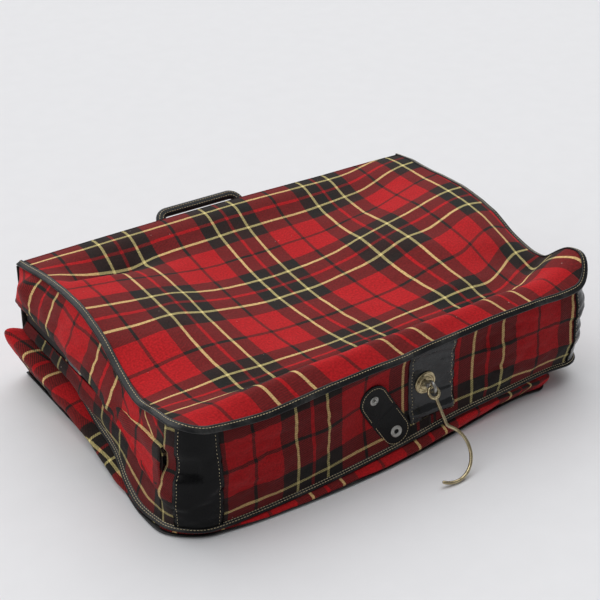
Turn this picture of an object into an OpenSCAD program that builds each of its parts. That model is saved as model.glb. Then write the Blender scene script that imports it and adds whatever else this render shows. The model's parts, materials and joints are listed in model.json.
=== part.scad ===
// Folding garment bag: one long fabric bag bent double over a fold wall, lying flat and closed.
// +X runs along the near edge, +Y from the near edge to the fold, +Z up from the floor.
// The origin is the middle of the bottom panel, on the floor.

/* [Bag] */
// Width of the bag across the hanger
bag_w = 560; // [450:5:680]
// Length of each half, from the near edge to the fold wall's outer face
half_l = 380; // [310:5:460]
// Corner radius at the near edge
corner_r = 30; // [20:1:40]
// Height of the top panel at the near edge
near_top = 136; // [112:1:165]
// Height of the top panel at the fold
far_top = 156; // [130:1:190]
// Height of the upper half's underside at the near edge
near_under = 15; // [12.5:0.5:20]
// Height of the upper half's underside at the fold
far_under = 73; // [60:1:88]
// Thickness of the lined fabric
fabric_t = 2; // [1.6:0.1:2.6]
// Space between the two halves
half_gap = 3; // [2.8:0.1:4]
// Space between each half and the fold wall
fold_gap = 1; // [0.6:0.1:1.5]

/* [Binding] */
// Width of the vinyl binding on a panel
bind_w = 8; // [6:0.5:10]
// Width of the vinyl binding on a gusset
bind_side = 6; // [5:0.5:8]
// Thickness of the binding
bind_t = 1.2; // [0.9:0.1:1.3]

/* [Vinyl patches] */
// Length of a corner patch along the near edge
corner_patch_w = 52; // [44:1:65]
// Centre of the hanger patch along X
hanger_patch_x = 42; // [30:1:55]
// Width of the hanger patch
hanger_patch_w = 66; // [56:1:80]
// Thickness of the hanger patch
patch_t = 1.2; // [0.8:0.1:1.6]

/* [Grommet and hanger bracket] */
// Place of the grommet along X
grommet_x = 32; // [26:1:40]
// Height of the grommet's centre above the floor
grommet_z = 82; // [68:1:98]
// Outside diameter of the grommet
grommet_d = 28; // [24:1:33]
// Height of the grommet's rolled flange
grommet_h = 2; // [1.5:0.1:3]
// Wall of the grommet's barrel
barrel_t = 1.5; // [1:0.1:2]
// Diameter of the hanger eye's stem
stem_d = 7; // [6:0.1:8.4]
// Length of the hanger bracket's plate
bracket_w = 76; // [66:1:90]
// Height of the hanger bracket's plate
bracket_h = 34; // [30:1:40]
// Thickness of the hanger bracket's plate
bracket_t = 1.5; // [1:0.1:2]
// Diameter of the hanger bar inside
bar_d = 5; // [4:0.1:6]
// Distance from the bracket to the hanger bar
bar_reach = 26; // [22:1:32]

/* [Hook] */
// Diameter of the hook's wire
wire_d = 4; // [3.4:0.1:4.8]
// Radius of the hanger eye's loop, to the middle of its wire
loop_r = 6.5; // [6:0.1:7.5]
// Radius of the hook's own eye, to the middle of its wire
hook_eye_r = 6.5; // [6:0.1:7.5]
// Distance from the pivot to the bend above the crook
shank_l = 42; // [36:1:50]
// Radius of the crook, to the middle of its wire
crook_r = 32; // [27:1:38]
// Radius of the bend above the crook
bend_r = 8; // [6:0.5:10]
// Turn of the bend above the crook
bend_turn = 55; // [48:1:62]
// Turn of the crook beyond its widest point
crook_turn = 125; // [105:1:135]

/* [Keeper strap] */
// Place of the snap stud along X
stud_x = -40; // [-50:1:-32]
// Height of the snap stud above the floor
stud_z = 84; // [78:1:94]
// Distance between the two snaps
snap_pitch = 58; // [50:1:64]
// Width of the keeper strap
keeper_w = 38; // [32:1:44]
// Thickness of the keeper strap
keeper_t = 1.6; // [1.2:0.1:2]
// Lean of the keeper strap from upright
keeper_lean = 31; // [25:1:37]
// Angle at which the keeper flap stands off the gusset
flap_angle = 10; // [8:1:14]
// Diameter of a snap's ring
snap_d = 15; // [13:0.5:18]

/* [Zip] */
// Height of the zip on the left gusset
zip_z = 88; // [84:1:96]
// Width of the opening that the two tapes fill
zip_slit = 26; // [22:1:31]
// Width of the closed chain
chain_w = 5; // [4:0.1:6]
// Thickness of the chain
chain_t = 3; // [2.5:0.1:3.6]
// Thickness of a zip tape
tape_t = 0.8; // [0.6:0.1:1]
// Distance from the ends of the gusset to the zip stops
zip_end = 8; // [6:1:12]
// Place of the slider along Y
slider_y = 66; // [55:1:79]
// Length of the slider
slider_l = 11; // [9:0.5:13]
// Length of the pull tab
pull_l = 38; // [32:1:45]
// Width of the pull tab
pull_w = 10; // [8:0.5:12]

/* [Handle] */
// Centre of the handle along X
handle_x = -16; // [-20:1:-13]
// Height of the handle's pivots above the floor
handle_z = 124; // [104:1:136]
// Distance between the handle's pivots
handle_span = 118; // [98:1:142]
// Reach of the handle from its pivots
handle_reach = 42; // [36:1:50]
// Width of the handle's band
handle_band = 13; // [11:0.5:16]
// Thickness of the handle's band
handle_t = 8; // [6.5:0.5:10]
// Rise of the handle above level
handle_rise = 34; // [28:1:41]
// Diameter of the handle's pivot pins
pin_d = 4; // [3.4:0.1:4.8]
// Diameter of the shanks of the rivets that hold the handle's anchors
rivet_d = 4; // [3:0.5:5]

/* [Hidden] */

y_near = -half_l / 2;
y_far = half_l / 2;
y_end = y_far - fabric_t - fold_gap;
x_side = bag_w / 2;
sky = far_top + near_top;
eps = 0.05;
run_gap = 0.08;
free_gap = 0.4;
floor_gap = 0.5;

// Each line gives a surface's height at the near edge and at the fold.
top_line = [near_top, far_top];
under_line = [near_under, far_under];
cover_line = [near_under - half_gap, far_under - half_gap];
floor_line = [0, 0];

stem_r = stem_d / 2;
hole_r = stem_r + run_gap;
barrel_r = hole_r + barrel_t;
wire_r = wire_d / 2;
y_patch = y_near - patch_t;
patch_clear = 0.5;
y_inner = y_near + fabric_t;
y_plate = y_inner + bracket_t;
washer_t = 1.2;
groove_r = 1.6;
groove_shift = 0.5;
groove_lift = 0.4;
ring_step = 0.15;
sleeve_step = 0.3;
sleeve_l = 3;
head_t = 2;
loop_clear = 1;
y_pivot = y_patch - grommet_h - wire_r - loop_r - loop_clear;
crook_depth = shank_l + (bend_r + crook_r) * sin(bend_turn);
crook_offset = bend_r * (1 - cos(bend_turn)) - crook_r * cos(bend_turn);
hook_dip = asin((grommet_z - wire_r - floor_gap) / (crook_depth + crook_r));

keeper_r = keeper_w / 2;
fold_x = stud_x + sin(keeper_lean) * snap_pitch / 2;
fold_z = stud_z - cos(keeper_lean) * snap_pitch / 2;
fold_slack = 0.2;
fold_y = y_near - keeper_t - fold_slack;
ring_h = 1;
stud_r = 2.4;
stud_h = 3.4;
snap_clear = 0.5;
socket_r = stud_r + snap_clear;

x_mid = x_side - fabric_t / 2;
slider_gap = 0.3;
slider_wall = 1.4;
pull_t = 1.6;
pull_pin_r = 0.8;
lug_t = 1;
x_slider = x_mid + chain_t / 2 + slider_gap + slider_wall;
pull_stand = 2.2;
x_pull = x_slider + pull_stand;

anchor_w = 24;
anchor_h = 34;
anchor_t = 1.6;
pin_r = pin_d / 2;
eye_wall = 2.5;
anchor_clear = 0.5;
eye_r = pin_r + eye_wall;
eye_w = 12;
lug_w = 3;
y_pin = y_far + anchor_t + eye_r + anchor_clear;

// ---- Shared shapes ----

// Height of a surface line at a distance along Y
function line_z(line, y) = line[0] + (line[1] - line[0]) * (y - y_near) / half_l;

// Everything between two sloping surfaces, each moved by its own amount
module between(low, high, low_by = 0, high_by = 0) {
  y0 = y_near - corner_r;
  y1 = y_far + corner_r;
  rotate([90, 0, 90]) translate([0, 0, -bag_w]) linear_extrude(2 * bag_w)
    polygon([[y0, line_z(low, y0) + low_by], [y1, line_z(low, y1) + low_by],
      [y1, line_z(high, y1) + high_by], [y0, line_z(high, y0) + high_by]]);
}

// Plan of a half, grown outwards by a margin, with its near corners rounded
module plan(grow = 0, past_end = 0) {
  r = corner_r + grow;
  translate([-x_side - grow, y_near + corner_r])
    square([bag_w + 2 * grow, y_end + past_end - y_near - corner_r]);
  translate([-x_side + corner_r, y_near - grow])
    square([bag_w - 2 * corner_r, r + eps]);
  for (side = [-1, 1]) translate([side * (x_side - corner_r), y_near + corner_r])
    circle(r = r, $fn = 96);
}

// Upright wall that follows the edge of a half
module edge_wall(inset, grow = 0) {
  linear_extrude(sky) difference() {
    plan(grow);
    plan(-inset, 1);
  }
}

// Region of a half near a side: the straight side, or the corner with its share of the front
module side_region(side) {
  translate([side > 0 ? 0 : -bag_w, y_near + corner_r, -1]) cube([bag_w, half_l, sky + 2]);
}
module corner_region(side) {
  x0 = x_side - corner_patch_w;
  translate([side > 0 ? x0 : -x0 - bag_w, y_near - bag_w, -1])
    cube([bag_w, bag_w + corner_r, sky + 2]);
}
module front_region() {
  x0 = x_side - corner_patch_w;
  translate([-x0, y_near - 1, -1]) cube([2 * x0, fabric_t + 2, sky + 2]);
}

// Flat panel of a half
module panel(low, high, low_by, high_by) {
  intersection() {
    linear_extrude(sky) plan();
    between(low, high, low_by, high_by);
  }
}

// Round piece whose axis runs along Y, at a place on the near gusset
module on_gusset(x, y, z) {
  translate([x, y, z]) rotate([90, 0, 0]) children();
}

// Bars along X
module x_rod(r, length) {
  rotate([0, 90, 0]) cylinder(r = r, h = length, center = true, $fn = 48);
}

// ---- Lower half ----

module lower_outer_panel() color("firebrick") panel(floor_line, floor_line, 0, fabric_t);

module lower_inner_panel() color("firebrick") panel(cover_line, cover_line, -fabric_t, 0);

module lower_wall() {
  intersection() {
    edge_wall(fabric_t);
    between(floor_line, cover_line, fabric_t, -fabric_t);
  }
}

module lower_gusset_front() color("firebrick") difference() {
  lower_wall();
  for (side = [-1, 1]) side_region(side);
}

module lower_gusset_side(side) color("firebrick") intersection() {
  lower_wall();
  side_region(side);
}

// The floor binding stands just off the floor, so that the bag rests on its panel
module lower_binding_floor() color("dimgray") intersection() {
  edge_wall(0, bind_t);
  translate([-bag_w, -half_l, bind_t / 4]) cube([2 * bag_w, 2 * half_l, bind_side]);
}

module lower_binding_side(side) color("dimgray") intersection() {
  bound_edge(cover_line, 1);
  side_region(side);
}

// Binding with an L section round a panel's edge: up = 1 on a top face, -1 on an underside
module bound_edge(line, up) {
  difference() {
    intersection() {
      linear_extrude(sky) plan(bind_t);
      between(line, line, up > 0 ? -bind_side : -bind_t, up > 0 ? bind_t : bind_side);
    }
    intersection() {
      linear_extrude(sky) plan(0, 1);
      between(line, line, up > 0 ? -2 * bind_side : 0, up > 0 ? 0 : 2 * bind_side);
    }
    translate([0, 0, -1]) linear_extrude(sky) plan(-bind_w, 1);
  }
}

// ---- Fold wall and handle ----

module spine_panel() color("firebrick")
  translate([-x_side, y_far - fabric_t, 0]) cube([bag_w, fabric_t, far_top]);

module spine_binding(side) color("dimgray")
  translate([side > 0 ? x_side : -x_side - bind_t, y_far - fabric_t, bind_t / 4])
    cube([bind_t, fabric_t, far_top - bind_t / 4]);

module at_pivots() {
  for (side = [-1, 1]) translate([handle_x + side * handle_span / 2, y_pin, handle_z]) children();
}

module handle_anchors() color("black") difference() {
  at_pivots() {
    translate([-anchor_w / 2, -eye_r - 0.5 - anchor_t, -anchor_h / 2])
      cube([anchor_w, anchor_t, anchor_h]);
    for (side = [-1, 1]) translate([side * (eye_w / 2 + free_gap + lug_w / 2), 0, 0]) {
      x_rod(eye_r, lug_w);
      translate([-lug_w / 2, -eye_r - 1, -eye_r]) cube([lug_w, eye_r + 1, 2 * eye_r]);
    }
  }
  at_pivots() x_rod(pin_r + eps, bag_w / 8);
  at_rivets() translate([0, -anchor_t, 0]) rotate([-90, 0, 0])
    cylinder(d = rivet_d + 2 * eps, h = 3 * anchor_t, $fn = 32);
}

module at_rivets() {
  for (side = [-1, 1], up = [-1, 1])
    translate([handle_x + side * handle_span / 2, y_far, handle_z + up * (anchor_h / 2 - 5)]) children();
}

module handle_pins() color("goldenrod")
  at_pivots() x_rod(pin_r, eye_w + 2 * free_gap + 2 * lug_w);

module handle_rivets() color("goldenrod") at_rivets() rotate([-90, 0, 0]) {
  cylinder(d = rivet_d, h = anchor_t, $fn = 32);
  translate([0, 0, anchor_t]) cylinder(d = rivet_d + 2.5, h = 1, $fn = 32);
}

module handle_grip() color("black") difference() {
  union() {
    at_pivots() x_rod(eye_r, eye_w);
    translate([handle_x, y_pin, handle_z]) rotate([handle_rise, 0, 0])
      translate([0, 0, -handle_t / 2]) linear_extrude(handle_t) handle_outline();
  }
  at_pivots() x_rod(pin_r + run_gap, bag_w / 8);
  at_pivots() for (side = [-1, 1])
    translate([side * (eye_w / 2 + bag_w / 40), 0, 0]) x_rod(eye_r + 1, bag_w / 20);
}

module handle_outline() {
  outer_r = handle_band + 6;
  half = handle_span / 2 + eye_w / 2;
  difference() {
    union() {
      translate([-half, 0]) square([2 * half, handle_reach - outer_r]);
      translate([-half + outer_r, 0]) square([2 * (half - outer_r), handle_reach]);
      for (side = [-1, 1]) translate([side * (half - outer_r), handle_reach - outer_r])
        circle(r = outer_r, $fn = 64);
    }
    inner_r = 6;
    inner = half - eye_w;
    depth = handle_reach - handle_band;
    translate([-inner, -1]) square([2 * inner, depth - inner_r + 1]);
    translate([-inner + inner_r, -1]) square([2 * (inner - inner_r), depth + 1]);
    for (side = [-1, 1]) translate([side * (inner - inner_r), depth - inner_r])
      circle(r = inner_r, $fn = 48);
  }
}

// ---- Upper half ----

module upper_outer_panel() color("firebrick") panel(top_line, top_line, -fabric_t, 0);

module upper_inner_panel() color("firebrick") panel(under_line, under_line, 0, fabric_t);

module upper_wall() {
  intersection() {
    edge_wall(fabric_t);
    between(under_line, top_line, fabric_t, -fabric_t);
  }
}

module upper_gusset_front() color("firebrick") difference() {
  intersection() {
    upper_wall();
    front_region();
  }
  barrel_hole();
  snap_hole();
}

module upper_gusset_right() color("firebrick") intersection() {
  upper_wall();
  side_region(1);
}

module upper_gusset_left() color("firebrick") intersection() {
  upper_wall();
  side_region(-1);
  translate([-bag_w, -half_l, zip_z + zip_slit / 2]) cube([2 * bag_w, 2 * half_l, sky]);
}

module upper_gusset_left_low() color("firebrick") intersection() {
  upper_wall();
  side_region(-1);
  translate([-bag_w, -half_l, zip_z - zip_slit / 2 - sky]) cube([2 * bag_w, 2 * half_l, sky]);
}

module corner_patch(side) color("black") intersection() {
  upper_wall();
  corner_region(side);
}

module upper_binding_top() color("dimgray") bound_edge(top_line, 1);

module upper_binding_lower() color("dimgray") bound_edge(under_line, -1);

// ---- Hanger patch, grommet and bracket ----

module barrel_hole() {
  on_gusset(grommet_x, y_plate + 1, grommet_z)
    cylinder(r = barrel_r + eps, h = bracket_t + fabric_t + patch_t + 2, $fn = 64);
}

module hanger_patch() color("black") difference() {
  bottom = line_z(under_line, y_near) + bind_side;
  top = line_z(top_line, y_near) - bind_side - patch_clear;
  translate([hanger_patch_x - hanger_patch_w / 2, y_patch, bottom])
    cube([hanger_patch_w, patch_t, top - bottom]);
  barrel_hole();
}

module grommet() color("goldenrod") on_gusset(grommet_x, y_patch, grommet_z)
  rotate_extrude($fn = 96) difference() {
    union() {
      translate([hole_r, 0]) square([grommet_d / 2 - hole_r - grommet_h / 2, grommet_h]);
      translate([grommet_d / 2 - grommet_h / 2, 0]) intersection() {
        circle(r = grommet_h / 2 + 0.001, $fn = 32);
        translate([0, 0]) square(grommet_h);
      }
      translate([hole_r, -patch_t - fabric_t - bracket_t])
        square([barrel_t, patch_t + fabric_t + bracket_t + eps]);
    }
    translate([(hole_r + grommet_d / 2) / 2 + groove_shift, grommet_h + groove_lift])
      circle(r = groove_r, $fn = 32);
  }

module grommet_washer() color("goldenrod") on_gusset(grommet_x, y_plate + washer_t, grommet_z)
  rotate_extrude($fn = 96) translate([hole_r, 0]) square([barrel_r + 4 - hole_r, washer_t]);

module hanger_bracket() color("silver") difference() {
  translate([grommet_x - bracket_w / 2, y_inner, grommet_z - bracket_h / 2])
    cube([bracket_w, bracket_t, bracket_h]);
  barrel_hole();
}

// Bar that the coat hangers hook over, on two legs from the bracket
module hanger_bar() color("silver") {
  half = bracket_w / 2 - 20;
  z = grommet_z + bracket_h / 2 - bar_d / 2 - 2;
  for (side = [-1, 1]) translate([grommet_x + side * half, y_plate, z]) rotate([-90, 0, 0])
    cylinder(d = bar_d, h = bar_reach, $fn = 48);
  translate([grommet_x, y_plate + bar_reach, z]) x_rod(bar_d / 2, 2 * half + 2 * bar_d);
}

// ---- Hanger eye and hook ----

module ring(radius, wire) {
  rotate_extrude($fn = 64) translate([radius, 0]) circle(r = wire, $fn = 24);
}

module hanger_eye() color("goldenrod") {
  translate([grommet_x, y_pivot, grommet_z]) rotate([0, 90, 0]) ring(loop_r, wire_r);
  on_gusset(grommet_x, y_plate + washer_t + free_gap, grommet_z)
    cylinder(r = stem_r, h = y_plate + washer_t + free_gap - y_pivot - loop_r, $fn = 64);
  on_gusset(grommet_x, y_plate + washer_t + free_gap + head_t, grommet_z)
    cylinder(r = barrel_r + 2, h = head_t, $fn = 64);
}

// Arc of wire in the hook's own plane, by its centre, radius, first angle and turn
module wire_arc(x, y, radius, from, turn) {
  translate([x, y]) rotate(from) rotate_extrude(angle = turn, $fn = 96)
    translate([radius, 0]) circle(r = wire_r, $fn = 24);
}

// Short sleeve that joins two stretches of wire, a little thicker than the wire, along a heading
module wire_joint(x, y, heading) {
  translate([x, y]) rotate([-90, 0, heading]) translate([0, 0, -sleeve_l / 2])
    cylinder(r = wire_r + sleeve_step, h = sleeve_l, $fn = 24);
}

module hook() color("goldenrod")
  translate([grommet_x, y_pivot, grommet_z]) rotate([180 + hook_dip, 0, 0]) {
    translate([0, hook_eye_r]) ring(hook_eye_r, wire_r - ring_step);
    translate([0, 2 * hook_eye_r, 0]) rotate([-90, 0, 0])
      cylinder(r = wire_r, h = shank_l - 2 * hook_eye_r, $fn = 24);
    wire_joint(0, shank_l, 0);
    wire_arc(bend_r, shank_l, bend_r, 180 - bend_turn, bend_turn);
    wire_joint(bend_r * (1 - cos(bend_turn)), shank_l + bend_r * sin(bend_turn), -bend_turn);
    wire_arc(crook_offset, crook_depth, crook_r, -bend_turn, bend_turn + crook_turn);
  }

// ---- Keeper strap ----

// The strap's own frame: X along the fold line, Y up the strap, Z out from the gusset
module keeper_frame(turn = 0) {
  translate([fold_x, fold_y, fold_z]) rotate([90, 0, 0]) rotate(keeper_lean) rotate([turn, 0, 0])
    children();
}

module half_strap(up) {
  intersection() {
    union() {
      translate([-keeper_r, up > 0 ? 0 : -snap_pitch / 2]) square([keeper_w, snap_pitch / 2]);
      translate([0, up * snap_pitch / 2]) circle(r = keeper_r, $fn = 64);
    }
    translate([-keeper_w, up > 0 ? fold_slack : -bag_w - fold_slack]) square([2 * keeper_w, bag_w]);
  }
}

module snap_hole() {
  keeper_frame() translate([0, snap_pitch / 2, -keeper_t - fabric_t - 2])
    cylinder(r = stud_r + eps, h = keeper_t + fabric_t + 3, $fn = 48);
}

module keeper_base() color("black") difference() {
  keeper_frame() translate([0, 0, -fold_slack - keeper_t]) linear_extrude(keeper_t) half_strap(1);
  snap_hole();
}

// Stud on its ring, with a rivet through strap and gusset to a washer inside
module snap_stud() color("goldenrod") keeper_frame() translate([0, snap_pitch / 2, -fold_slack]) {
  through = keeper_t + fabric_t;
  rotate_extrude($fn = 72) difference() {
    translate([0, 0]) square([snap_d / 2, ring_h]);
    translate([snap_d / 4 + stud_r / 2, ring_h + 0.3]) circle(r = 0.9, $fn = 24);
  }
  cylinder(r = stud_r, h = stud_h, $fn = 48);
  translate([0, 0, -through]) cylinder(r = stud_r, h = through, $fn = 48);
  translate([0, 0, -through - 1]) cylinder(r = snap_d / 3, h = 1, $fn = 48);
}

module keeper_flap() color("black") keeper_frame(-flap_angle) difference() {
  translate([0, 0, -fold_slack - keeper_t]) linear_extrude(keeper_t) half_strap(-1);
  translate([0, -snap_pitch / 2, -keeper_t - 2]) cylinder(r = socket_r + 1 + eps, h = keeper_t + 4, $fn = 48);
}

module snap_socket() color("goldenrod") keeper_frame(-flap_angle)
  translate([0, -snap_pitch / 2, -fold_slack]) rotate_extrude($fn = 72) {
    translate([socket_r, 0]) square([snap_d / 2 - socket_r, ring_h]);
    translate([socket_r, -keeper_t]) square([1, keeper_t + ring_h]);
    translate([socket_r, -keeper_t - ring_h]) square([snap_d / 3, ring_h]);
  }

// ---- Zip on the left gusset ----

zip_y0 = y_near + corner_r;
zip_l = y_end - zip_y0;

// Box on the zip's line, by its length, its height and its reach out from the gusset's middle
module zip_box(y, length, low, height, inside, outside) {
  translate([-x_mid - outside, y, zip_z + low]) cube([inside + outside, length, height]);
}

module zip_tape(up) color("black")
  zip_box(zip_y0, zip_l, up > 0 ? chain_w / 2 : -zip_slit / 2, (zip_slit - chain_w) / 2,
    tape_t / 2, tape_t / 2);

module zip_chain() color("darkgoldenrod")
  zip_box(zip_y0 + zip_end, zip_l - 2 * zip_end, -chain_w / 2, chain_w, chain_t / 2, chain_t / 2);

module zip_stops() color("darkgoldenrod")
  for (y = [zip_y0 + zip_end - 4, zip_y0 + zip_l - zip_end])
    zip_box(y, 4, -chain_w / 2, chain_w, chain_t / 2, chain_t / 2 + 1);

// Slider that straddles the chain, with two lugs and a pin for the pull
module zip_slider() color("goldenrod") {
  half = chain_w / 2 + slider_gap + slider_wall;
  y0 = slider_y - slider_l / 2;
  inner = tape_t / 2 + slider_gap;
  difference() {
    zip_box(y0, slider_l, -half, 2 * half, -inner, x_slider - x_mid);
    zip_box(y0 - 1, slider_l + 2, slider_wall - half, 2 * (half - slider_wall), 0,
      chain_t / 2 + slider_gap);
  }
  for (side = [-1, 1]) translate([-x_pull - 1.6, slider_y - 2, zip_z + side * 3 - lug_t / 2])
    cube([x_pull + 1.6 - x_slider, 4, lug_t]);
  translate([-x_pull, slider_y, zip_z]) cylinder(r = pull_pin_r, h = 6, center = true, $fn = 32);
}

module zip_pull() color("gray") difference() {
  union() {
    translate([-x_pull, slider_y, zip_z]) cylinder(r = pull_pin_r + 0.7, h = 4.4, center = true, $fn = 32);
    translate([-x_pull - pull_t / 2, slider_y - 6, zip_z - 2.2]) cube([pull_t, 6, 4.4]);
    translate([-x_pull - pull_t / 2, slider_y - pull_l + pull_w / 2, zip_z - pull_w / 2])
      cube([pull_t, pull_l - pull_w / 2 - 5, pull_w]);
    pull_end(pull_w / 2, pull_t);
  }
  translate([-x_pull, slider_y, zip_z])
    cylinder(r = pull_pin_r + run_gap, h = 20, center = true, $fn = 32);
  pull_end(2.5 + eps, 4 * pull_t);
}

module pull_end(r, thickness) {
  translate([-x_pull, slider_y - pull_l + pull_w / 2, zip_z]) rotate([0, 90, 0])
    cylinder(r = r, h = thickness, center = true, $fn = 48);
}

module pull_ring() color("goldenrod") difference() {
  union() {
    pull_end(2.5, pull_t);
    for (side = [-1, 1]) translate([side * (pull_t / 2 + 0.3), 0, 0]) pull_end(3.8, 0.6);
  }
  pull_end(1.6, 20);
}

lower_outer_panel();
lower_inner_panel();
lower_gusset_front();
lower_gusset_side(-1);  // lower_gusset_left
lower_gusset_side(1);  // lower_gusset_right
lower_binding_floor();
lower_binding_side(-1);  // lower_binding_left
lower_binding_side(1);  // lower_binding_right
spine_panel();
spine_binding(-1);  // spine_binding_left
spine_binding(1);  // spine_binding_right
handle_anchors();
handle_pins();
handle_rivets();
handle_grip();
upper_outer_panel();
upper_inner_panel();
upper_gusset_front();
upper_gusset_left();
upper_gusset_left_low();
upper_gusset_right();
upper_binding_top();
upper_binding_lower();
corner_patch(-1);  // corner_patch_left
corner_patch(1);  // corner_patch_right
hanger_patch();
grommet();
grommet_washer();
hanger_bracket();
hanger_bar();
keeper_base();
snap_stud();
zip_tape(1);  // zip_tape_upper
zip_tape(-1);  // zip_tape_lower
zip_chain();
zip_stops();
hanger_eye();
hook();
keeper_flap();
snap_socket();
zip_slider();
zip_pull();
pull_ring();
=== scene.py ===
"""Folding tartan garment bag: its visual model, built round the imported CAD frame.

The bag is bent double over a fold wall and lies flat and closed. All sizes in the classes are in
millimetres; meshes are made in metres in the frame's own axes.
"""

import json
import logging
import math
from dataclasses import dataclass, field
from enum import Enum
from typing import Callable, Sequence

import bmesh
import bpy
import numpy as np
from mathutils import Matrix, Vector

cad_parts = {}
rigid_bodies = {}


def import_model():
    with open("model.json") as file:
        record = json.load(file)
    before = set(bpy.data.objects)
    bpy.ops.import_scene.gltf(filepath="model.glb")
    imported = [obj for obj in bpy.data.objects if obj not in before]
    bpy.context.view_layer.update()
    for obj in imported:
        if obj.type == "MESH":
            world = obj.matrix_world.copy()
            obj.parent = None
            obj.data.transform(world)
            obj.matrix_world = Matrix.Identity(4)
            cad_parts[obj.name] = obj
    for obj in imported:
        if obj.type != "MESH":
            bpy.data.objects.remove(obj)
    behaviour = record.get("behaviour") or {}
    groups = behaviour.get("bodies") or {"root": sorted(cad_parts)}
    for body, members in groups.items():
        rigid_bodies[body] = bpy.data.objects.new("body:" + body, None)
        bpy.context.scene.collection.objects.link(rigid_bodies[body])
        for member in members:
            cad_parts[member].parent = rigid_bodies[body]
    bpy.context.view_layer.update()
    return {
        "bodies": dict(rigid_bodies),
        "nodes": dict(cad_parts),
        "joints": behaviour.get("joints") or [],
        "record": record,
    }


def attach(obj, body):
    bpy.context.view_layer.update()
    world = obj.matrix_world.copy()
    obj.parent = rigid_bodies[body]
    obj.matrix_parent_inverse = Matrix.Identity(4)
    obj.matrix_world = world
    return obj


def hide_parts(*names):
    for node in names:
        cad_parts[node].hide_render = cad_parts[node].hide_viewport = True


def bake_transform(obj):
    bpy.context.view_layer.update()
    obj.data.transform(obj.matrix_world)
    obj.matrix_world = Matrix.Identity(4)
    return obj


LOG = logging.getLogger("garment_bag")
MM = 0.001

Array = np.ndarray
Table = Sequence[tuple[float, ...]]


class Body(Enum):
    """Bodies of the bag that its new pieces ride on."""

    LOWER = "lower_half"
    SPINE = "spine"
    HANDLE = "handle"
    UPPER = "upper_half"
    HOOK = "hook"
    FLAP = "keeper_flap"


class Slot(Enum):
    """Material slot names, one given with each piece."""

    TARTAN = "tartan_cloth"
    BINDING = "binding_vinyl"
    PATCH = "patch_vinyl"
    STRAP = "strap_vinyl"
    GRIP = "handle_vinyl"
    BRASS = "brass"
    STEEL = "steel"
    ZIP = "zip_metal"
    TAPE = "zip_tape"


# ---- Numbers and shapes ----


def smooth(stations: Sequence[float], values: Array, at: Array) -> Array:
    """Runs a cubic through given values and holds it level beyond the ends.

    Args:
        stations: rising places where the values stand.
        values: one value for each station, or one such row for each place asked for.
        at: the places asked for.

    Returns:
        One number for each place.
    """
    x = np.asarray(stations, float)
    t = np.clip(np.asarray(at, float), x[0], x[-1])
    rows = np.broadcast_to(np.asarray(values, float), (len(t), len(x)))
    slope = np.gradient(rows, x, axis=1) if len(x) > 2 else np.repeat(np.diff(rows) / np.diff(x), 2, 1)
    i = np.clip(np.searchsorted(x, t) - 1, 0, len(x) - 2)
    k = np.arange(len(t))
    h = x[i + 1] - x[i]
    u = (t - x[i]) / h
    rise = u * u * (3 - 2 * u)
    out = rows[k, i] * (1 - rise) + rows[k, i + 1] * rise
    out += (u**3 - 2 * u * u + u) * h * slope[k, i]
    return out + (u**3 - u * u) * h * slope[k, i + 1]


def column(table: Table, index: int, at: Array) -> Array:
    """Reads one column of a table smoothly.

    Args:
        table: rows that begin with their station.
        index: the column to read.
        at: the places asked for.

    Returns:
        One number for each place.
    """
    rows = np.asarray(table, float)
    return smooth(rows[:, 0], rows[:, index], at)


def ease(t: Array) -> Array:
    """Smooth step of t, held between 0 and 1."""
    t = np.clip(t, 0, 1)
    return t * t * (3 - 2 * t)


def waves(x: Array, y: Array, length: float, seed: int, octaves: int = 3) -> Array:
    """Gentle rumples as a sum of sine waves in fixed, seeded directions.

    Args:
        x: first coordinate, in millimetres.
        y: second coordinate, in millimetres.
        length: longest wave.
        seed: picks the directions and phases.
        octaves: how many times the wave length is halved.

    Returns:
        Heights of about -1 to 1.
    """
    rng = np.random.default_rng(seed)
    total = np.zeros(np.shape(x))
    for octave in range(octaves):
        for _ in range(4):
            angle, phase = rng.uniform(0, math.tau, 2)
            pitch = length / 2**octave * rng.uniform(0.8, 1.3)
            along = x * math.cos(angle) + y * math.sin(angle)
            total += np.sin(math.tau * along / pitch + phase) * 0.5 ** (octave + 1) * 0.5
    return total


def new_object(
    name: str, points: Array, faces: list[tuple[int, ...]], uv: Array | None = None
) -> bpy.types.Object:
    """Makes a mesh object from points in millimetres.

    Args:
        name: the piece's name.
        points: one row for each vertex.
        faces: vertex numbers of each face.
        uv: cloth coordinates in metres for each vertex, or none.

    Returns:
        The new object, smooth shaded.
    """
    mesh = bpy.data.meshes.new(name)
    mesh.from_pydata((np.asarray(points, float) * MM).tolist(), [], faces)
    if uv is not None:
        layer = mesh.uv_layers.new(name="cloth")
        index = np.zeros(len(mesh.loops), np.int32)
        mesh.loops.foreach_get("vertex_index", index)
        layer.data.foreach_set("uv", np.asarray(uv, float)[index].ravel())
    mesh.polygons.foreach_set("use_smooth", [True] * len(mesh.polygons))
    mesh.update()
    obj = bpy.data.objects.new(name, mesh)
    bpy.context.scene.collection.objects.link(obj)
    return obj


def wire_object(name: str, paths: Sequence[Array]) -> bpy.types.Object:
    """Makes an object of bare edges, one run for each path.

    Args:
        name: the object's name.
        paths: points of each run, in millimetres.

    Returns:
        The new object.
    """
    points, edges = [], []
    for path in paths:
        first = len(points)
        points.extend(path.tolist())
        edges.extend((first + k, first + k + 1) for k in range(len(path) - 1))
    mesh = bpy.data.meshes.new(name)
    mesh.from_pydata((np.array(points) * MM).tolist(), edges, [])
    obj = bpy.data.objects.new(name, mesh)
    bpy.context.scene.collection.objects.link(obj)
    return obj


def distance_along(path: Array) -> Array:
    """Distance walked from the first point of a path to each of its points."""
    return np.r_[0, np.cumsum(np.linalg.norm(np.diff(path, axis=0), axis=1))]


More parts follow.
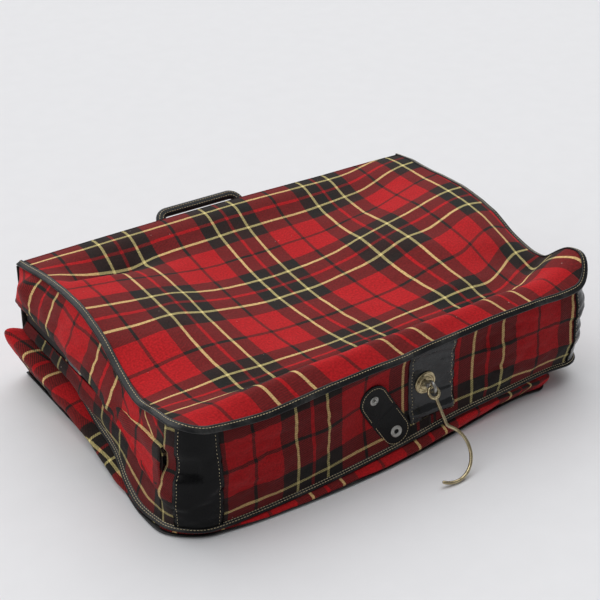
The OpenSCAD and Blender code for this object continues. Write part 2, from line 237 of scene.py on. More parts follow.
def grid_faces(rows: int, columns: int, ring: bool = False, closed: bool = False) -> list[tuple[int, ...]]:
    """Faces of a grid of vertices stored row by row.

    Args:
        rows: number of rows.
        columns: number of vertices in a row.
        ring: whether each row closes on itself.
        closed: whether the last row joins the first.

    Returns:
        Vertex numbers of each quad.
    """
    return [
        (
            r * columns + c,
            r * columns + (c + 1) % columns,
            (r + 1) % rows * columns + (c + 1) % columns,
            (r + 1) % rows * columns + c,
        )
        for r in range(rows if closed else rows - 1)
        for c in range(columns if ring else columns - 1)
    ]


def tube_faces(rows: int, columns: int) -> list[tuple[int, ...]]:
    """Faces of a tube with a cap on each end.

    Args:
        rows: number of rings.
        columns: number of vertices in a ring.

    Returns:
        Vertex numbers of each face.
    """
    caps = [tuple(range(columns))[::-1], tuple(range((rows - 1) * columns, rows * columns))]
    return grid_faces(rows, columns, ring=True) + caps


def grid_object(name: str, grid: Array, uv: Array, flip: bool = False) -> bpy.types.Object:
    """Makes a sheet from a grid of points.

    Args:
        name: the piece's name.
        grid: rows by columns by 3, in millimetres.
        uv: rows by columns by 2, in metres.
        flip: whether to turn the faces over.

    Returns:
        The new object.
    """
    rows, columns = grid.shape[:2]
    faces = grid_faces(rows, columns)
    if flip:
        faces = [face[::-1] for face in faces]
    return new_object(name, grid.reshape(-1, 3), faces, uv.reshape(-1, 2))


def thicken(obj: bpy.types.Object, thickness: float, inward: bool = True) -> bpy.types.Object:
    """Gives a sheet its thickness and makes the result its mesh.

    Args:
        obj: the sheet.
        thickness: in millimetres.
        inward: whether the new wall lies behind the faces.

    Returns:
        The same object.
    """
    solid = obj.modifiers.new("Wall", "SOLIDIFY")
    solid.thickness = thickness * MM
    solid.offset = -1 if inward else 0
    return settle(obj)


def settle(obj: bpy.types.Object) -> bpy.types.Object:
    """Makes an object's modifiers part of its mesh.

    Args:
        obj: the object, which keeps its name.

    Returns:
        The same object.
    """
    bpy.context.view_layer.update()
    evaluated = obj.evaluated_get(bpy.context.evaluated_depsgraph_get())
    mesh = bpy.data.meshes.new_from_object(evaluated)
    obj.modifiers.clear()
    old = obj.data
    obj.data = mesh
    mesh.name = obj.name
    bpy.data.meshes.remove(old)
    return obj


def frames(path: Array, up: Array) -> tuple[Array, Array]:
    """Side and upright directions along a path.

    Args:
        path: points along it.
        up: the direction that should stay upright, one for all or one for each point.

    Returns:
        The side and the upright unit vectors at each point.
    """
    along = np.gradient(path, axis=0)
    along /= np.linalg.norm(along, axis=1)[:, None]
    side = np.cross(along, np.broadcast_to(up, path.shape))
    side /= np.maximum(np.linalg.norm(side, axis=1), 1e-9)[:, None]
    return side, np.cross(side, along)


def sweep(
    name: str, path: Array, up: Array, profile: Array, taper: Array | None = None
) -> bpy.types.Object:
    """Sweeps a closed outline along a path and caps its ends.

    Args:
        name: the piece's name.
        path: points along the path, in millimetres.
        up: the upright direction.
        profile: the outline's points as side and upright offsets, anticlockwise.
        taper: scale of the outline at each point, or none.

    Returns:
        The new closed solid.
    """
    side, rise = frames(path, up)
    scale = np.ones(len(path)) if taper is None else taper
    rings = path[:, None] + (
        side[:, None] * profile[None, :, :1] + rise[:, None] * profile[None, :, 1:]
    ) * scale[:, None, None]
    rows, columns = rings.shape[:2]
    across = np.linspace(0, 1, columns) * columns * MM
    uv = np.stack(np.meshgrid(distance_along(path) * MM, across, indexing="ij"), -1)
    obj = new_object(name, rings.reshape(-1, 3), tube_faces(rows, columns), uv.reshape(-1, 2))
    return face_out(obj)


def face_out(obj: bpy.types.Object) -> bpy.types.Object:
    """Turns a closed solid's faces outwards.

    Args:
        obj: the solid.

    Returns:
        The same object.
    """
    work = bmesh.new()
    work.from_mesh(obj.data)
    bmesh.ops.remove_doubles(work, verts=work.verts, dist=1e-6)
    bmesh.ops.recalc_face_normals(work, faces=work.faces)
    if work.calc_volume(signed=True) < 0:
        bmesh.ops.reverse_faces(work, faces=work.faces)
    work.to_mesh(obj.data)
    work.free()
    return obj


def joined(name: str, parts: Sequence[bpy.types.Object]) -> bpy.types.Object:
    """Joins several objects that share one finish.

    Args:
        name: the joined piece's name.
        parts: the objects, which are used up.

    Returns:
        The joined object.
    """
    bpy.ops.object.select_all(action="DESELECT")
    for part in parts:
        part.select_set(True)
    bpy.context.view_layer.objects.active = parts[0]
    bpy.ops.object.join()
    parts[0].name = name
    parts[0].data.name = name
    return parts[0]


def round_profile(half_w: float, half_t: float, corners: int) -> Array:
    """Outline of a flat strip with round edges.

    Args:
        half_w: half its width.
        half_t: half its thickness.
        corners: steps round each edge.

    Returns:
        The outline's points, anticlockwise.
    """
    right = [(-math.pi / 2) + math.pi * i / corners for i in range(corners + 1)]
    points = [(half_w - half_t + half_t * math.cos(a), half_t * math.sin(a)) for a in right]
    points += [(-half_w + half_t - half_t * math.cos(a), half_t * -math.sin(a)) for a in right]
    return np.array(points)


def lathe(
    name: str, outline: Sequence[tuple[float, float]], place: Matrix, turns: int = 48
) -> bpy.types.Object:
    """Turns an outline about its own Z axis.

    Args:
        name: the piece's name.
        outline: closed radius and height pairs, in millimetres.
        place: where the piece stands, in millimetres.
        turns: steps round.

    Returns:
        The closed solid of revolution.
    """
    angles = np.arange(turns) / turns * math.tau
    ring = np.array(
        [[(r * math.cos(a), r * math.sin(a), z) for a in angles] for r, z in outline]
    )
    faces = grid_faces(len(outline), turns, ring=True, closed=True)
    m = np.array(place)
    points = ring.reshape(-1, 3) @ m[:3, :3].T + m[:3, 3]
    return face_out(new_object(name, points, faces))


# ---- Geometry Nodes ----


class GeometryTree:
    """A Geometry Nodes tree under construction, with named inputs for its sizes."""

    def __init__(self, name: str, inputs: Sequence[tuple[str, str, float]]) -> None:
        """Starts a tree.

        Args:
            name: the tree's name.
            inputs: name, socket type and default of each input after the geometry.
        """
        self.group = bpy.data.node_groups.new(name, "GeometryNodeTree")
        face = self.group.interface
        face.new_socket("Geometry", in_out="INPUT", socket_type="NodeSocketGeometry")
        face.new_socket("Geometry", in_out="OUTPUT", socket_type="NodeSocketGeometry")
        self.identifiers: dict[str, str] = {}
        for label, kind, default in inputs:
            socket = face.new_socket(label, in_out="INPUT", socket_type=kind)
            if kind != "NodeSocketMaterial":
                socket.default_value = default
            self.identifiers[label] = socket.identifier
        self.start = self.add("NodeGroupInput")
        self.end = self.add("NodeGroupOutput")

    def add(self, kind: str, **settings: object) -> bpy.types.Node:
        """Adds a node and sets its properties.

        Args:
            kind: the node's type.
            settings: its properties.

        Returns:
            The new node.
        """
        node = self.group.nodes.new(kind)
        for key, value in settings.items():
            setattr(node, key, value)
        return node

    def link(self, source: bpy.types.NodeSocket, target: bpy.types.NodeSocket) -> None:
        """Joins two sockets."""
        self.group.links.new(source, target)

    def close(self, geometry: bpy.types.NodeSocket) -> None:
        """Ends the tree with real geometry in the given finish.

        Args:
            geometry: the instances to keep.
        """
        real = self.add("GeometryNodeRealizeInstances")
        paint = self.add("GeometryNodeSetMaterial")
        self.link(geometry, real.inputs[0])
        self.link(real.outputs[0], paint.inputs["Geometry"])
        self.link(self.start.outputs["Finish"], paint.inputs["Material"])
        self.link(paint.outputs[0], self.end.inputs[0])

    def apply(self, obj: bpy.types.Object, values: dict[str, object]) -> bpy.types.Object:
        """Runs the tree on an object and keeps the result as its plain mesh.

        Args:
            obj: the object whose mesh feeds the tree.
            values: value of each named input.

        Returns:
            The same object.
        """
        modifier = obj.modifiers.new(self.group.name, "NODES")
        modifier.node_group = self.group
        for label, value in values.items():
            modifier[self.identifiers[label]] = value
        return settle(obj)


class StitchTree(GeometryTree):
    """Lockstitches: one small capsule for each stitch along a path."""

    def __init__(self) -> None:
        """Builds the tree."""
        super().__init__(
            "Lockstitch run",
            [
                ("Pitch", "NodeSocketFloat", 0.0036),
                ("Stitch length", "NodeSocketFloat", 0.0028),
                ("Thread radius", "NodeSocketFloat", 0.0004),
                ("Finish", "NodeSocketMaterial", 0.0),
            ],
        )
        curve = self.add("GeometryNodeMeshToCurve")
        points = self.add("GeometryNodeCurveToPoints", mode="LENGTH")
        turn = self.add("FunctionNodeAlignRotationToVector", axis="Z")
        ball = self.add("GeometryNodeMeshUVSphere")
        ball.inputs["Segments"].default_value = 6
        ball.inputs["Rings"].default_value = 5
        half = self.add("ShaderNodeMath", operation="MULTIPLY")
        half.inputs[1].default_value = 0.5
        ratio = self.add("ShaderNodeCombineXYZ")
        place = self.add("GeometryNodeInstanceOnPoints")
        unit = self.add("GeometryNodeTransform")
        self.link(self.start.outputs["Geometry"], curve.inputs["Mesh"])
        self.link(curve.outputs[0], points.inputs["Curve"])
        self.link(self.start.outputs["Pitch"], points.inputs["Length"])
        self.link(points.outputs["Tangent"], turn.inputs["Vector"])
        ball.inputs["Radius"].default_value = 1.0
        self.link(self.start.outputs["Stitch length"], half.inputs[0])
        self.link(self.start.outputs["Thread radius"], ratio.inputs[0])
        self.link(self.start.outputs["Thread radius"], ratio.inputs[1])
        self.link(half.outputs[0], ratio.inputs[2])
        self.link(ball.outputs[0], unit.inputs["Geometry"])
        self.link(ratio.outputs[0], unit.inputs["Scale"])
        self.link(points.outputs["Points"], place.inputs["Points"])
        self.link(unit.outputs[0], place.inputs["Instance"])
        self.link(turn.outputs[0], place.inputs["Rotation"])
        self.close(place.outputs[0])


# ---- Finishes ----


class Shader:
    """A material under construction: one principled shader and the nodes that feed it."""

    def __init__(self, name: str) -> None:
        """Starts an empty material."""
        self.material = bpy.data.materials.new(name)
        self.material.use_nodes = True
        self.tree = self.material.node_tree
        self.body = self.tree.nodes["Principled BSDF"]

    def add(self, kind: str, **settings: object) -> bpy.types.Node:
        """Adds a node and sets its properties.

        Args:
            kind: the node's type.
            settings: its properties.

        Returns:
            The new node.
        """
        node = self.tree.nodes.new(kind)
        for key, value in settings.items():
            setattr(node, key, value)
        return node

    def link(self, source: bpy.types.NodeSocket, target: bpy.types.NodeSocket) -> None:
        """Joins two sockets."""
        self.tree.links.new(source, target)

    def feed(self, value: object, target: bpy.types.NodeSocket) -> None:
        """Joins a socket, or sets a number or colour, on another socket.

        Args:
            value: the socket, number or colour.
            target: the socket that takes it.
        """
        if isinstance(value, bpy.types.NodeSocket):
            self.link(value, target)
        else:
            target.default_value = value

    def calc(self, operation: str, a: object, b: object = 0.0, c: object = 0.0) -> bpy.types.NodeSocket:
        """One math node's result.

        Args:
            operation: the sum to do.
            a: its first term.
            b: its second term.
            c: its third term.

        Returns:
            The result's socket.
        """
        node = self.add("ShaderNodeMath", operation=operation)
        for value, target in zip((a, b, c), node.inputs):
            self.feed(value, target)
        return node.outputs[0]

    def point(self, kind: str = "Object") -> bpy.types.NodeSocket:
        """Coordinates of the surface: Object, or UV for the cloth's own."""
        return self.add("ShaderNodeTexCoord").outputs[kind]

    def noise(
        self, vector: bpy.types.NodeSocket, scale: float, detail: float = 3.0
    ) -> bpy.types.NodeSocket:
        """Noise of about 0 to 1.

        Args:
            vector: where it is read.
            scale: how fine it is.
            detail: how many finer layers it has.

        Returns:
            The noise's socket.
        """
        node = self.add("ShaderNodeTexNoise")
        node.inputs["Scale"].default_value = scale
        node.inputs["Detail"].default_value = detail
        self.link(vector, node.inputs["Vector"])
        return node.outputs[0]

    def spread(
        self, value: object, low: float, high: float, start: float = 0.0, end: float = 1.0
    ) -> bpy.types.NodeSocket:
        """Maps start..end to low..high and holds it there.

        Args:
            value: what is mapped.
            low: the result at the start.
            high: the result at the end.
            start: value at which the rise begins.
            end: value at which it stops.

        Returns:
            The mapped value's socket.
        """
        node = self.add("ShaderNodeMapRange")
        self.feed(value, node.inputs[0])
        for socket, number in zip(node.inputs[1:5], (start, end, low, high)):
            socket.default_value = number
        return node.outputs[0]

    def mix(self, share: object, a: object, b: object, blend: str = "MIX") -> bpy.types.NodeSocket:
        """Mixes two colours.

        Args:
            share: how much of the second shows.
            a: the first colour.
            b: the second colour.
            blend: how they are mixed.

        Returns:
            The mixed colour's socket.
        """
        node = self.add("ShaderNodeMix", data_type="RGBA", blend_type=blend)
        self.feed(share, node.inputs[0])
        self.feed(a, node.inputs[6])
        self.feed(b, node.inputs[7])
        return node.outputs[2]

    def bump(
        self, height: bpy.types.NodeSocket, strength: float, distance: float, under: object = None
    ) -> bpy.types.NodeSocket:
        """Bump from a height, on top of another if given.

        Args:
            height: the height's socket.
            strength: how strong it is.
            distance: how deep it is, in metres.
            under: the bump below it, or none.

        Returns:
            The normal's socket.
        """
        node = self.add("ShaderNodeBump")
        node.inputs["Strength"].default_value = strength
        node.inputs["Distance"].default_value = distance
        self.link(height, node.inputs["Height"])
        if under is not None:
            self.link(under, node.inputs["Normal"])
        return node.outputs[0]

    def set(self, **values: object) -> None:
        """Feeds the shader's own sockets, underscores standing for spaces."""
        for key, value in values.items():
            self.feed(value, self.body.inputs[key.replace("_", " ")])


def rgb(red: float, green: float, blue: float) -> tuple[float, float, float, float]:
    """Linear colour from display values of 0 to 255.

    Args:
        red: red display value.
        green: green display value.
        blue: blue display value.

    Returns:
        The colour with full cover.
    """
    lin = [
        c / 255 / 12.92 if c <= 10 else ((c / 255 + 0.055) / 1.055) ** 2.4
        for c in (red, green, blue)
    ]
    return (*lin, 1.0)


@dataclass(frozen=True)
class TartanFinish:
    """Cotton tartan in a two-and-two twill, on the cloth's own coordinates in metres."""

    sett: float = 0.149
    thread: float = 0.00062
    red: tuple[float, ...] = rgb(188, 24, 30)
    black: tuple[float, ...] = rgb(33, 33, 31)
    yellow: tuple[float, ...] = rgb(238, 222, 150)
    red_cover: float = 0.5
    black_cover: float = 1.0
    yellow_cover: float = 1.0
    # Brightness factor of the whole cloth; below 1 it is painted shade.
    painted_shade_tone: float = 1.0

    def stripes(self) -> list[tuple[float, tuple[float, ...], float]]:
        """Stripes of one repeat.

        Returns:
            Start, colour and cover of each stripe, from one thin black line to the next.
        """
        red = (self.red, self.red_cover)
        black = (self.black, self.black_cover)
        yellow = (self.yellow, self.yellow_cover)
        starts = (0.0, 0.015, 0.23, 0.348, 0.372, 0.485, 0.515, 0.628, 0.652, 0.77, 0.985)
        order = (black, red, black, yellow, black, red, black, yellow, black, red, black)
        return [(at, *yarn) for at, yarn in zip(starts, order)]

    def yarn(self, shader: Shader, along: bpy.types.NodeSocket) -> bpy.types.Node:
        """Colour ramp that gives the yarn at a place across the cloth.

        Args:
            shader: the material it goes into.
            along: distance across the stripes, in metres.

        Returns:
            The ramp: its colour is the yarn's and its alpha the yarn's cover.
        """
        turn = shader.calc("FRACT", shader.calc("MULTIPLY_ADD", along, 1 / self.sett, 0.5))
        ramp = shader.add("ShaderNodeValToRGB")
        ramp.color_ramp.interpolation = "CONSTANT"
        stops = ramp.color_ramp.elements
        stops.remove(stops[1])
        for index, (at, colour, cover) in enumerate(self.stripes()):
            stop = stops[0] if index == 0 else stops.new(at)
            stop.position = at
            stop.color = (*colour[:3], cover)
        shader.link(turn, ramp.inputs[0])
        return ramp

    def build(self) -> bpy.types.Material:
        """Makes the material.

        Returns:
            The tartan material.
        """
        s = Shader("Tartan cotton")
        where = s.point("UV")
        fibre = s.noise(where, 900, 2)
        split = s.add("ShaderNodeSeparateXYZ")
        s.link(where, split.inputs[0])
        fuzz = s.calc("MULTIPLY_ADD", fibre, 0.001, -0.0005)
        across = s.calc("ADD", split.outputs[0], fuzz)
        along = s.calc("ADD", split.outputs[1], fuzz)
        warp, weft = self.yarn(s, across), self.yarn(s, along)
        total = s.calc("ADD", warp.outputs[1], weft.outputs[1])
        share = s.calc("DIVIDE", weft.outputs[1], total)
        step = s.calc("ADD", split.outputs[0], split.outputs[1])
        twill = s.calc("SINE", s.calc("MULTIPLY", step, math.tau / (4 * self.thread)))
        lean = s.calc("MULTIPLY_ADD", twill, 0.24, share)
        colour = s.mix(s.spread(lean, 0.0, 1.0), warp.outputs[0], weft.outputs[0])
        wear = s.noise(where, 16, 4)
        colour = s.mix(s.spread(wear, 0.0, 0.16, 0.35, 0.8), colour, rgb(120, 24, 24))
        soft = s.noise(where, 420, 3)
        # Random mottle, scaled by the brightness factor, which paints shade onto the wall copy.
        shade = s.spread(soft, 0.72 * self.painted_shade_tone, 1.22 * self.painted_shade_tone, 0.3, 0.7)
        painted_shade_tone = s.add("ShaderNodeCombineColor")
        for socket in painted_shade_tone.inputs:
            s.link(shade, socket)
        colour = s.mix(1.0, colour, painted_shade_tone.outputs[0], "MULTIPLY")
        lint = s.add("ShaderNodeTexVoronoi")
        lint.inputs["Scale"].default_value = 75
        s.link(where, lint.inputs["Vector"])
        rare = s.noise(where, 60, 1)
        near = s.calc("LESS_THAN", lint.outputs["Distance"], 0.05)
        speck = s.calc("MULTIPLY", near, s.calc("GREATER_THAN", rare, 0.62))
        colour = s.mix(s.calc("MULTIPLY", speck, 0.55), colour, rgb(214, 190, 180))
        ribs = s.calc("SINE", s.calc("MULTIPLY", split.outputs[0], math.tau / (2 * self.thread)))
        weave = s.calc("MULTIPLY", ribs, 0.35)
        threads = s.calc("ADD", s.calc("MULTIPLY", twill, 0.6), weave)
        relief = s.calc("ADD", threads, s.calc("MULTIPLY", soft, 1.6))
        rumple = s.bump(s.noise(where, 42, 4), 0.35, 0.0022)
        s.set(Base_Color=colour, Normal=s.bump(relief, 0.55, 0.0003, rumple))
        s.set(Roughness=0.92, Sheen_Weight=0.06, Sheen_Roughness=0.5, Specular_IOR_Level=0.2)
        return s.material


@dataclass(frozen=True)
class VinylFinish:
    """Calendered vinyl with a fine leather grain, greyed in random patches that stand for wear and, on the
    binding and hanger patch, also for a painted highlight.
    """

    name: str
    base: tuple[float, ...] = rgb(24, 25, 27)
    # Grey laid over the base in random patches: wear from rubbing, and where it is pale also a painted
    # highlight of glossy vinyl.
    rubbed_and_sheen: tuple[float, ...] = rgb(64, 67, 70)
    gloss: float = 0.36
    shine: float = 0.3
    grain: float = 900.0

    def build(self) -> bpy.types.Material:
        """Makes the material.

        Returns:
            The vinyl material.
        """
        s = Shader(self.name)
        where = s.point()
        pores = s.add("ShaderNodeTexVoronoi")
        pores.inputs["Scale"].default_value = self.grain
        s.link(where, pores.inputs["Vector"])
        # Two noises place the grey patches, which are wear from rubbing and painted highlight; the first also
        # sets the roughness.
        scuff_and_sheen_noise = s.noise(where, 34, 5)
        scratch_and_sheen_noise = s.noise(where, 260, 2)
        wear_and_sheen, scratches_and_sheen = s.spread(scuff_and_sheen_noise, 0.0, 0.5, 0.5, 0.85), s.spread(scratch_and_sheen_noise, 0.3, 1.0, 0.35, 0.7)
        share = s.calc("MULTIPLY", wear_and_sheen, scratches_and_sheen)
        colour = s.mix(share, self.base, self.rubbed_and_sheen)
        creased = s.bump(s.noise(where, 55, 3), 0.5, 0.0016)
        s.set(Base_Color=colour, Normal=s.bump(pores.outputs["Distance"], 0.25, 0.0002, creased))
        rough = s.spread(scuff_and_sheen_noise, self.gloss - 0.08, self.gloss + 0.2, 0.3, 0.8)
        s.set(Roughness=rough, Specular_IOR_Level=self.shine)
        return s.material


@dataclass(frozen=True)
class MetalFinish:
    """Plated metal, tarnished in random patches."""

    name: str
    bright: tuple[float, ...]
    dull: tuple[float, ...]
    roughness: float = 0.26

    def build(self) -> bpy.types.Material:
        """Makes the material.

        Returns:
            The metal material.
        """
        s = Shader(self.name)
        where = s.point()
        stain = s.noise(where, 140, 5)
        brushed = s.noise(where, 1400, 2)
        colour = s.mix(s.spread(stain, 0.0, 0.85, 0.42, 0.75), self.bright, self.dull)
        s.set(Base_Color=colour, Metallic=1.0, Normal=s.bump(brushed, 0.15, 0.0001))
        s.set(Roughness=s.spread(stain, self.roughness, self.roughness + 0.25, 0.35, 0.8))
        return s.material


@dataclass(frozen=True)
class ThreadFinish:
    """Twisted sewing thread or woven tape."""

    name: str
    base: tuple[float, ...]
    pitch: float = 2600.0

    def build(self) -> bpy.types.Material:
        """Makes the material.

        Returns:
            The thread material.
        """
        s = Shader(self.name)
        where = s.point()
        twist = s.noise(where, self.pitch, 2)
        soil = s.noise(where, 60, 3)
        dark = tuple(c * 0.55 for c in self.base[:3]) + (1.0,)
        colour = s.mix(s.spread(soil, 0.0, 0.7, 0.4, 0.75), self.base, dark)
        s.set(Base_Color=colour, Normal=s.bump(twist, 0.6, 0.0003), Roughness=0.85)
        return s.material


class Finishes:
    """Every finish of the bag, each made once."""

    def __init__(self) -> None:
        """Makes the materials."""
        self.tartan = TartanFinish().build()
        # Darker copy of the tartan for the upper walls: painted shade, not a different cloth.
        self.painted_shade_wall_tartan = TartanFinish(painted_shade_tone=0.66).build()
        # Binding: its pale grey patches are partly a painted highlight, the sheen of the glossy black vinyl,
        # and partly wear.
        self.binding = VinylFinish("Binding vinyl", rgb(18, 19, 21), rgb(116, 116, 112), 0.28, 0.3).build()
        self.patch = VinylFinish("Patch vinyl", rgb(4, 4, 5), rgb(20, 21, 22), 0.2, 0.14).build()
        # Hanger patch: its pale grey patches are partly a painted highlight on the crumpled gloss, and partly
        # wear.
        self.hanger_patch = VinylFinish(
            "Hanger patch vinyl", rgb(20, 21, 23), rgb(92, 94, 96), 0.2, 0.4
        ).build()
        self.strap = VinylFinish("Strap vinyl", rgb(4, 4, 5), rgb(18, 19, 20), 0.26, 0.16).build()
        self.grip = VinylFinish("Handle vinyl", rgb(20, 24, 27), rgb(60, 66, 70), 0.38).build()
        self.pull = VinylFinish("Pull vinyl", rgb(72, 76, 80), rgb(120, 124, 128), 0.4).build()
        self.brass = MetalFinish("Aged brass", rgb(196, 182, 146), rgb(104, 88, 62), 0.2).build()
        self.steel = MetalFinish("Plated steel", rgb(176, 176, 172), rgb(110, 106, 98), 0.3).build()
        self.zip_metal = MetalFinish("Zip metal", rgb(186, 160, 104), rgb(104, 84, 50), 0.3).build()
        self.thread = ThreadFinish("Stitching thread", rgb(206, 190, 152)).build()
        self.tape = ThreadFinish("Zip tape", rgb(34, 32, 31), 1800.0).build()


# ---- Shape of the folded bag ----


@dataclass(frozen=True)
class Outline:
    """Plan of one half, walked from the fold down the left side, along the near edge and up the right."""

    half_w: float = 280.0
    near: float = -190.0
    end: float = 187.0
    radius: float = 30.0

    def walk(self, side: int = 72, corner: int = 14, front: int = 110) -> tuple[Array, Array, Array]:
        """Walks the outline.

        Args:
            side: steps along each side.
            corner: steps round each corner.
            front: steps along the near edge.

        Returns:
            Plan points, outward normals and distance walked, which is 0 at the middle of the near edge.
        """
        w, r, y0 = self.half_w, self.radius, self.near + self.radius
        rise = np.linspace(self.end, y0, side, endpoint=False)
        arc = np.linspace(0, math.pi / 2, corner, endpoint=False)
        across = np.linspace(-w + r, w - r, front, endpoint=False)
        left = np.stack([np.full(side, -w), rise], 1)
        turn_l = np.stack([-w + r - r * np.cos(arc), y0 - r * np.sin(arc)], 1)
        run = np.stack([across, np.full(front, self.near)], 1)
        turn_r = np.stack([w - r + r * np.sin(arc), y0 - r * np.cos(arc)], 1)
        right = np.stack([np.full(side + 1, w), np.r_[y0, rise[::-1]]], 1)
        plan = np.concatenate([left, turn_l, run, turn_r, right])
        normal = np.concatenate([
            np.tile([-1.0, 0.0], (side, 1)),
            np.stack([-np.cos(arc), -np.sin(arc)], 1),
            np.tile([0.0, -1.0], (front, 1)),
            np.stack([np.sin(arc), -np.cos(arc)], 1),
            np.tile([1.0, 0.0], (side + 1, 1)),
        ])
        walked = distance_along(plan)
        middle = side + corner + front // 2
        return plan, normal, walked - walked[middle] + plan[middle, 0]


@dataclass(frozen=True)
class Level:
    """One sewn level of a half: how its edge runs, and how the cloth lies inside it.

    The edge tables hold a station, a reach outwards and a height. A side's station is its Y and the near
    edge's is its X.
    """

    left: Table
    right: Table
    front: Table
    lie: Callable[[Array, Array], Array]
    own_edge: bool = True
    hold: float = 60.0

    def shares(self, plan: Array) -> tuple[Array, Array, Array]:
        """How strongly each edge holds the cloth at a place.

        Args:
            plan: points in plan, in millimetres.

        Returns:
            The shares of the left, right and near edges.
        """
        x, y = plan[:, 0], plan[:, 1]
        gaps = (x + OUTLINE.half_w, OUTLINE.half_w - x, y - OUTLINE.near)
        left, right, front = (np.clip(1 - gap / self.hold, 0, 1) ** 2 for gap in gaps)
        return left, right, front

    def place(self, plan: Array) -> Array:
        """Puts plan points on this level.

        Args:
            plan: points in plan, in millimetres.

        Returns:
            The points in space.
        """
        x, y = plan[:, 0], plan[:, 1]
        left, right, front = self.shares(plan)
        total = np.maximum(1, left + right + front)
        z = self.lie(x, y)
        if self.own_edge:
            z = z + left * (column(self.left, 2, y) - z) / total
            z = z + right * (column(self.right, 2, y) - self.lie(x, y)) / total
            z = z + front * (column(self.front, 2, x) - self.lie(x, y)) / total
        out_x = right * column(self.right, 1, y) - left * column(self.left, 1, y)
        out_y = -front * column(self.front, 1, x)
        return np.stack([x + out_x, y + out_y, z], 1)

    def lay(self, plan: Array) -> Array:
        """Puts a grid of plan points on this level."""
        return self.place(plan.reshape(-1, 2)).reshape(*plan.shape[:2], 3)


@dataclass(frozen=True)
class Crease:
    """A sharp fold in the cloth along a line in plan."""

    line: tuple[tuple[float, float], ...]
    rise: float
    width: float
    fade: float = 30.0

    def height(self, x: Array, y: Array) -> Array:
        """Height that the crease adds at a place.

        Args:
            x: places along X.
            y: places along Y.

        Returns:
            The heights.
        """
        best = np.full(np.shape(x), 1e9)
        ends = np.zeros(np.shape(x))
        spans = [math.dist(a, b) for a, b in zip(self.line, self.line[1:])]
        start = 0.0
        for (ax, ay), (bx, by), span in zip(self.line, self.line[1:], spans):
            t = np.clip(((x - ax) * (bx - ax) + (y - ay) * (by - ay)) / span**2, 0, 1)
            gap = np.hypot(x - ax - t * (bx - ax), y - ay - t * (by - ay))
            walked = start + t * span
            inside = np.minimum(walked, sum(spans) - walked)
            ends = np.where(gap < best, inside, ends)
            best = np.minimum(gap, best)
            start += span
        return self.rise * np.exp(-((best / self.width) ** 2)) * ease(ends / self.fade)


OUTLINE = Outline()


@dataclass(frozen=True)
class TopLie:
    """How the top panel lies: high along its sides, slack in the middle, puffed behind the near edge."""

    stations_x: tuple[float, ...] = (-280, -190, -90, 0, 90, 150, 205, 250, 280)
    stations_y: tuple[float, ...] = (-190, -168, -150, -110, -60, -12, 30, 90, 130, 165, 190)
    heights: tuple[tuple[float, ...], ...] = (
        (136, 123, 128, 130, 134, 136, 135, 135, 138),
        (137, 139, 140, 141, 142, 143, 143, 148, 158),
        (135, 131, 130, 130, 131, 130, 130, 146, 159),
        (128, 134, 128, 127, 132, 138, 131, 125, 131),
        (138, 144, 130, 127, 134, 148, 150, 146, 135),
        (158, 150, 132, 128, 138, 153, 159, 160, 153),
        (166, 154, 134, 130, 139, 154, 161, 163, 161),
        (165, 152, 138, 137, 139, 146, 154, 160, 161),
        (161, 143, 144, 145, 144, 147, 152, 158, 159),
        (158, 157, 158, 159, 157, 156, 156, 157, 157),
        (155, 157, 158, 158, 157, 156, 156, 155, 154),
    )
    creases: tuple[Crease, ...] = (
        Crease(((-278, 108), (-235, 118), (-180, 126), (-130, 128)), -6.0, 9.0, 40),
        Crease(((-278, 92), (-230, 100), (-170, 104)), 3.0, 14.0, 40),
        Crease(((-215, -146), (-120, -152), (0, -151), (110, -152), (200, -147)), -4.0, 6.0, 60),
        Crease(((200, -147), (235, -128), (282, -104)), -7.0, 11.0, 30),
        Crease(((-200, -166), (-60, -170), (90, -169), (215, -165)), 2.5, 9.0, 60),
        Crease(((60, 60), (140, -20), (190, -90)), 3.0, 22.0, 50),
        Crease(((-260, -60), (-190, -20), (-130, 60)), 2.5, 24.0, 50),
    )

    def height(self, x: Array, y: Array) -> Array:
        """Height of the cloth at a place.

        Args:
            x: places along X.
            y: places along Y.

        Returns:
            The heights.
        """
        net = np.array(self.heights, float)
        rows = np.stack([smooth(self.stations_y, net[:, k], y) for k in range(net.shape[1])], 1)
        z = smooth(self.stations_x, rows, x)
        for crease in self.creases:
            z = z + crease.height(x, y)
        calm = ease((OUTLINE.end - y) / 30)
        return z + 0.9 * waves(x, y, 85, 5) * calm

    def cloth(self, x: Array, y: Array) -> Array:
        """Cloth coordinates in metres: the slack in the folds uses up cloth.

        Args:
            x: places along X.
            y: places along Y.

        Returns:
            One pair for each place, with a crossing of the sett at its origin.
        """
        pull = column(((-280, 15), (-180, 22), (-20, 36), (150, 36), (280, 22)), 1, x)
        skew = pull * column(((-190, 1), (-170, 0.6), (-150, 0.18), (-120, 0), (190, 0)), 1, y)
        drift = ease((x - 165) / 100) * column(((-190, 8), (-150, 20), (-90, 38), (0, 19), (190, 18)), 1, y)
        used = ((-190, 412), (-168, 382), (-150, 354), (-122, 316), (-12, 209), (31, 169), (131, 60),
                (169, 20), (187, 0))
        v = column(used, 1, y - drift)
        v = v - np.maximum(y - 187, 0)
        return np.stack([x - skew + 17, 40 - v], -1) * MM


@dataclass(frozen=True)
class SlopeLie:
    """How a flat panel lies: an even slope from the near edge up to the fold."""

    near: float
    rise: float = 0.0

    def height(self, x: Array, y: Array) -> Array:
        """Height of the panel at a place."""
        return self.near + self.rise * (y - OUTLINE.near) / (-2 * OUTLINE.near) + 0 * x


TOP_LIE = TopLie()

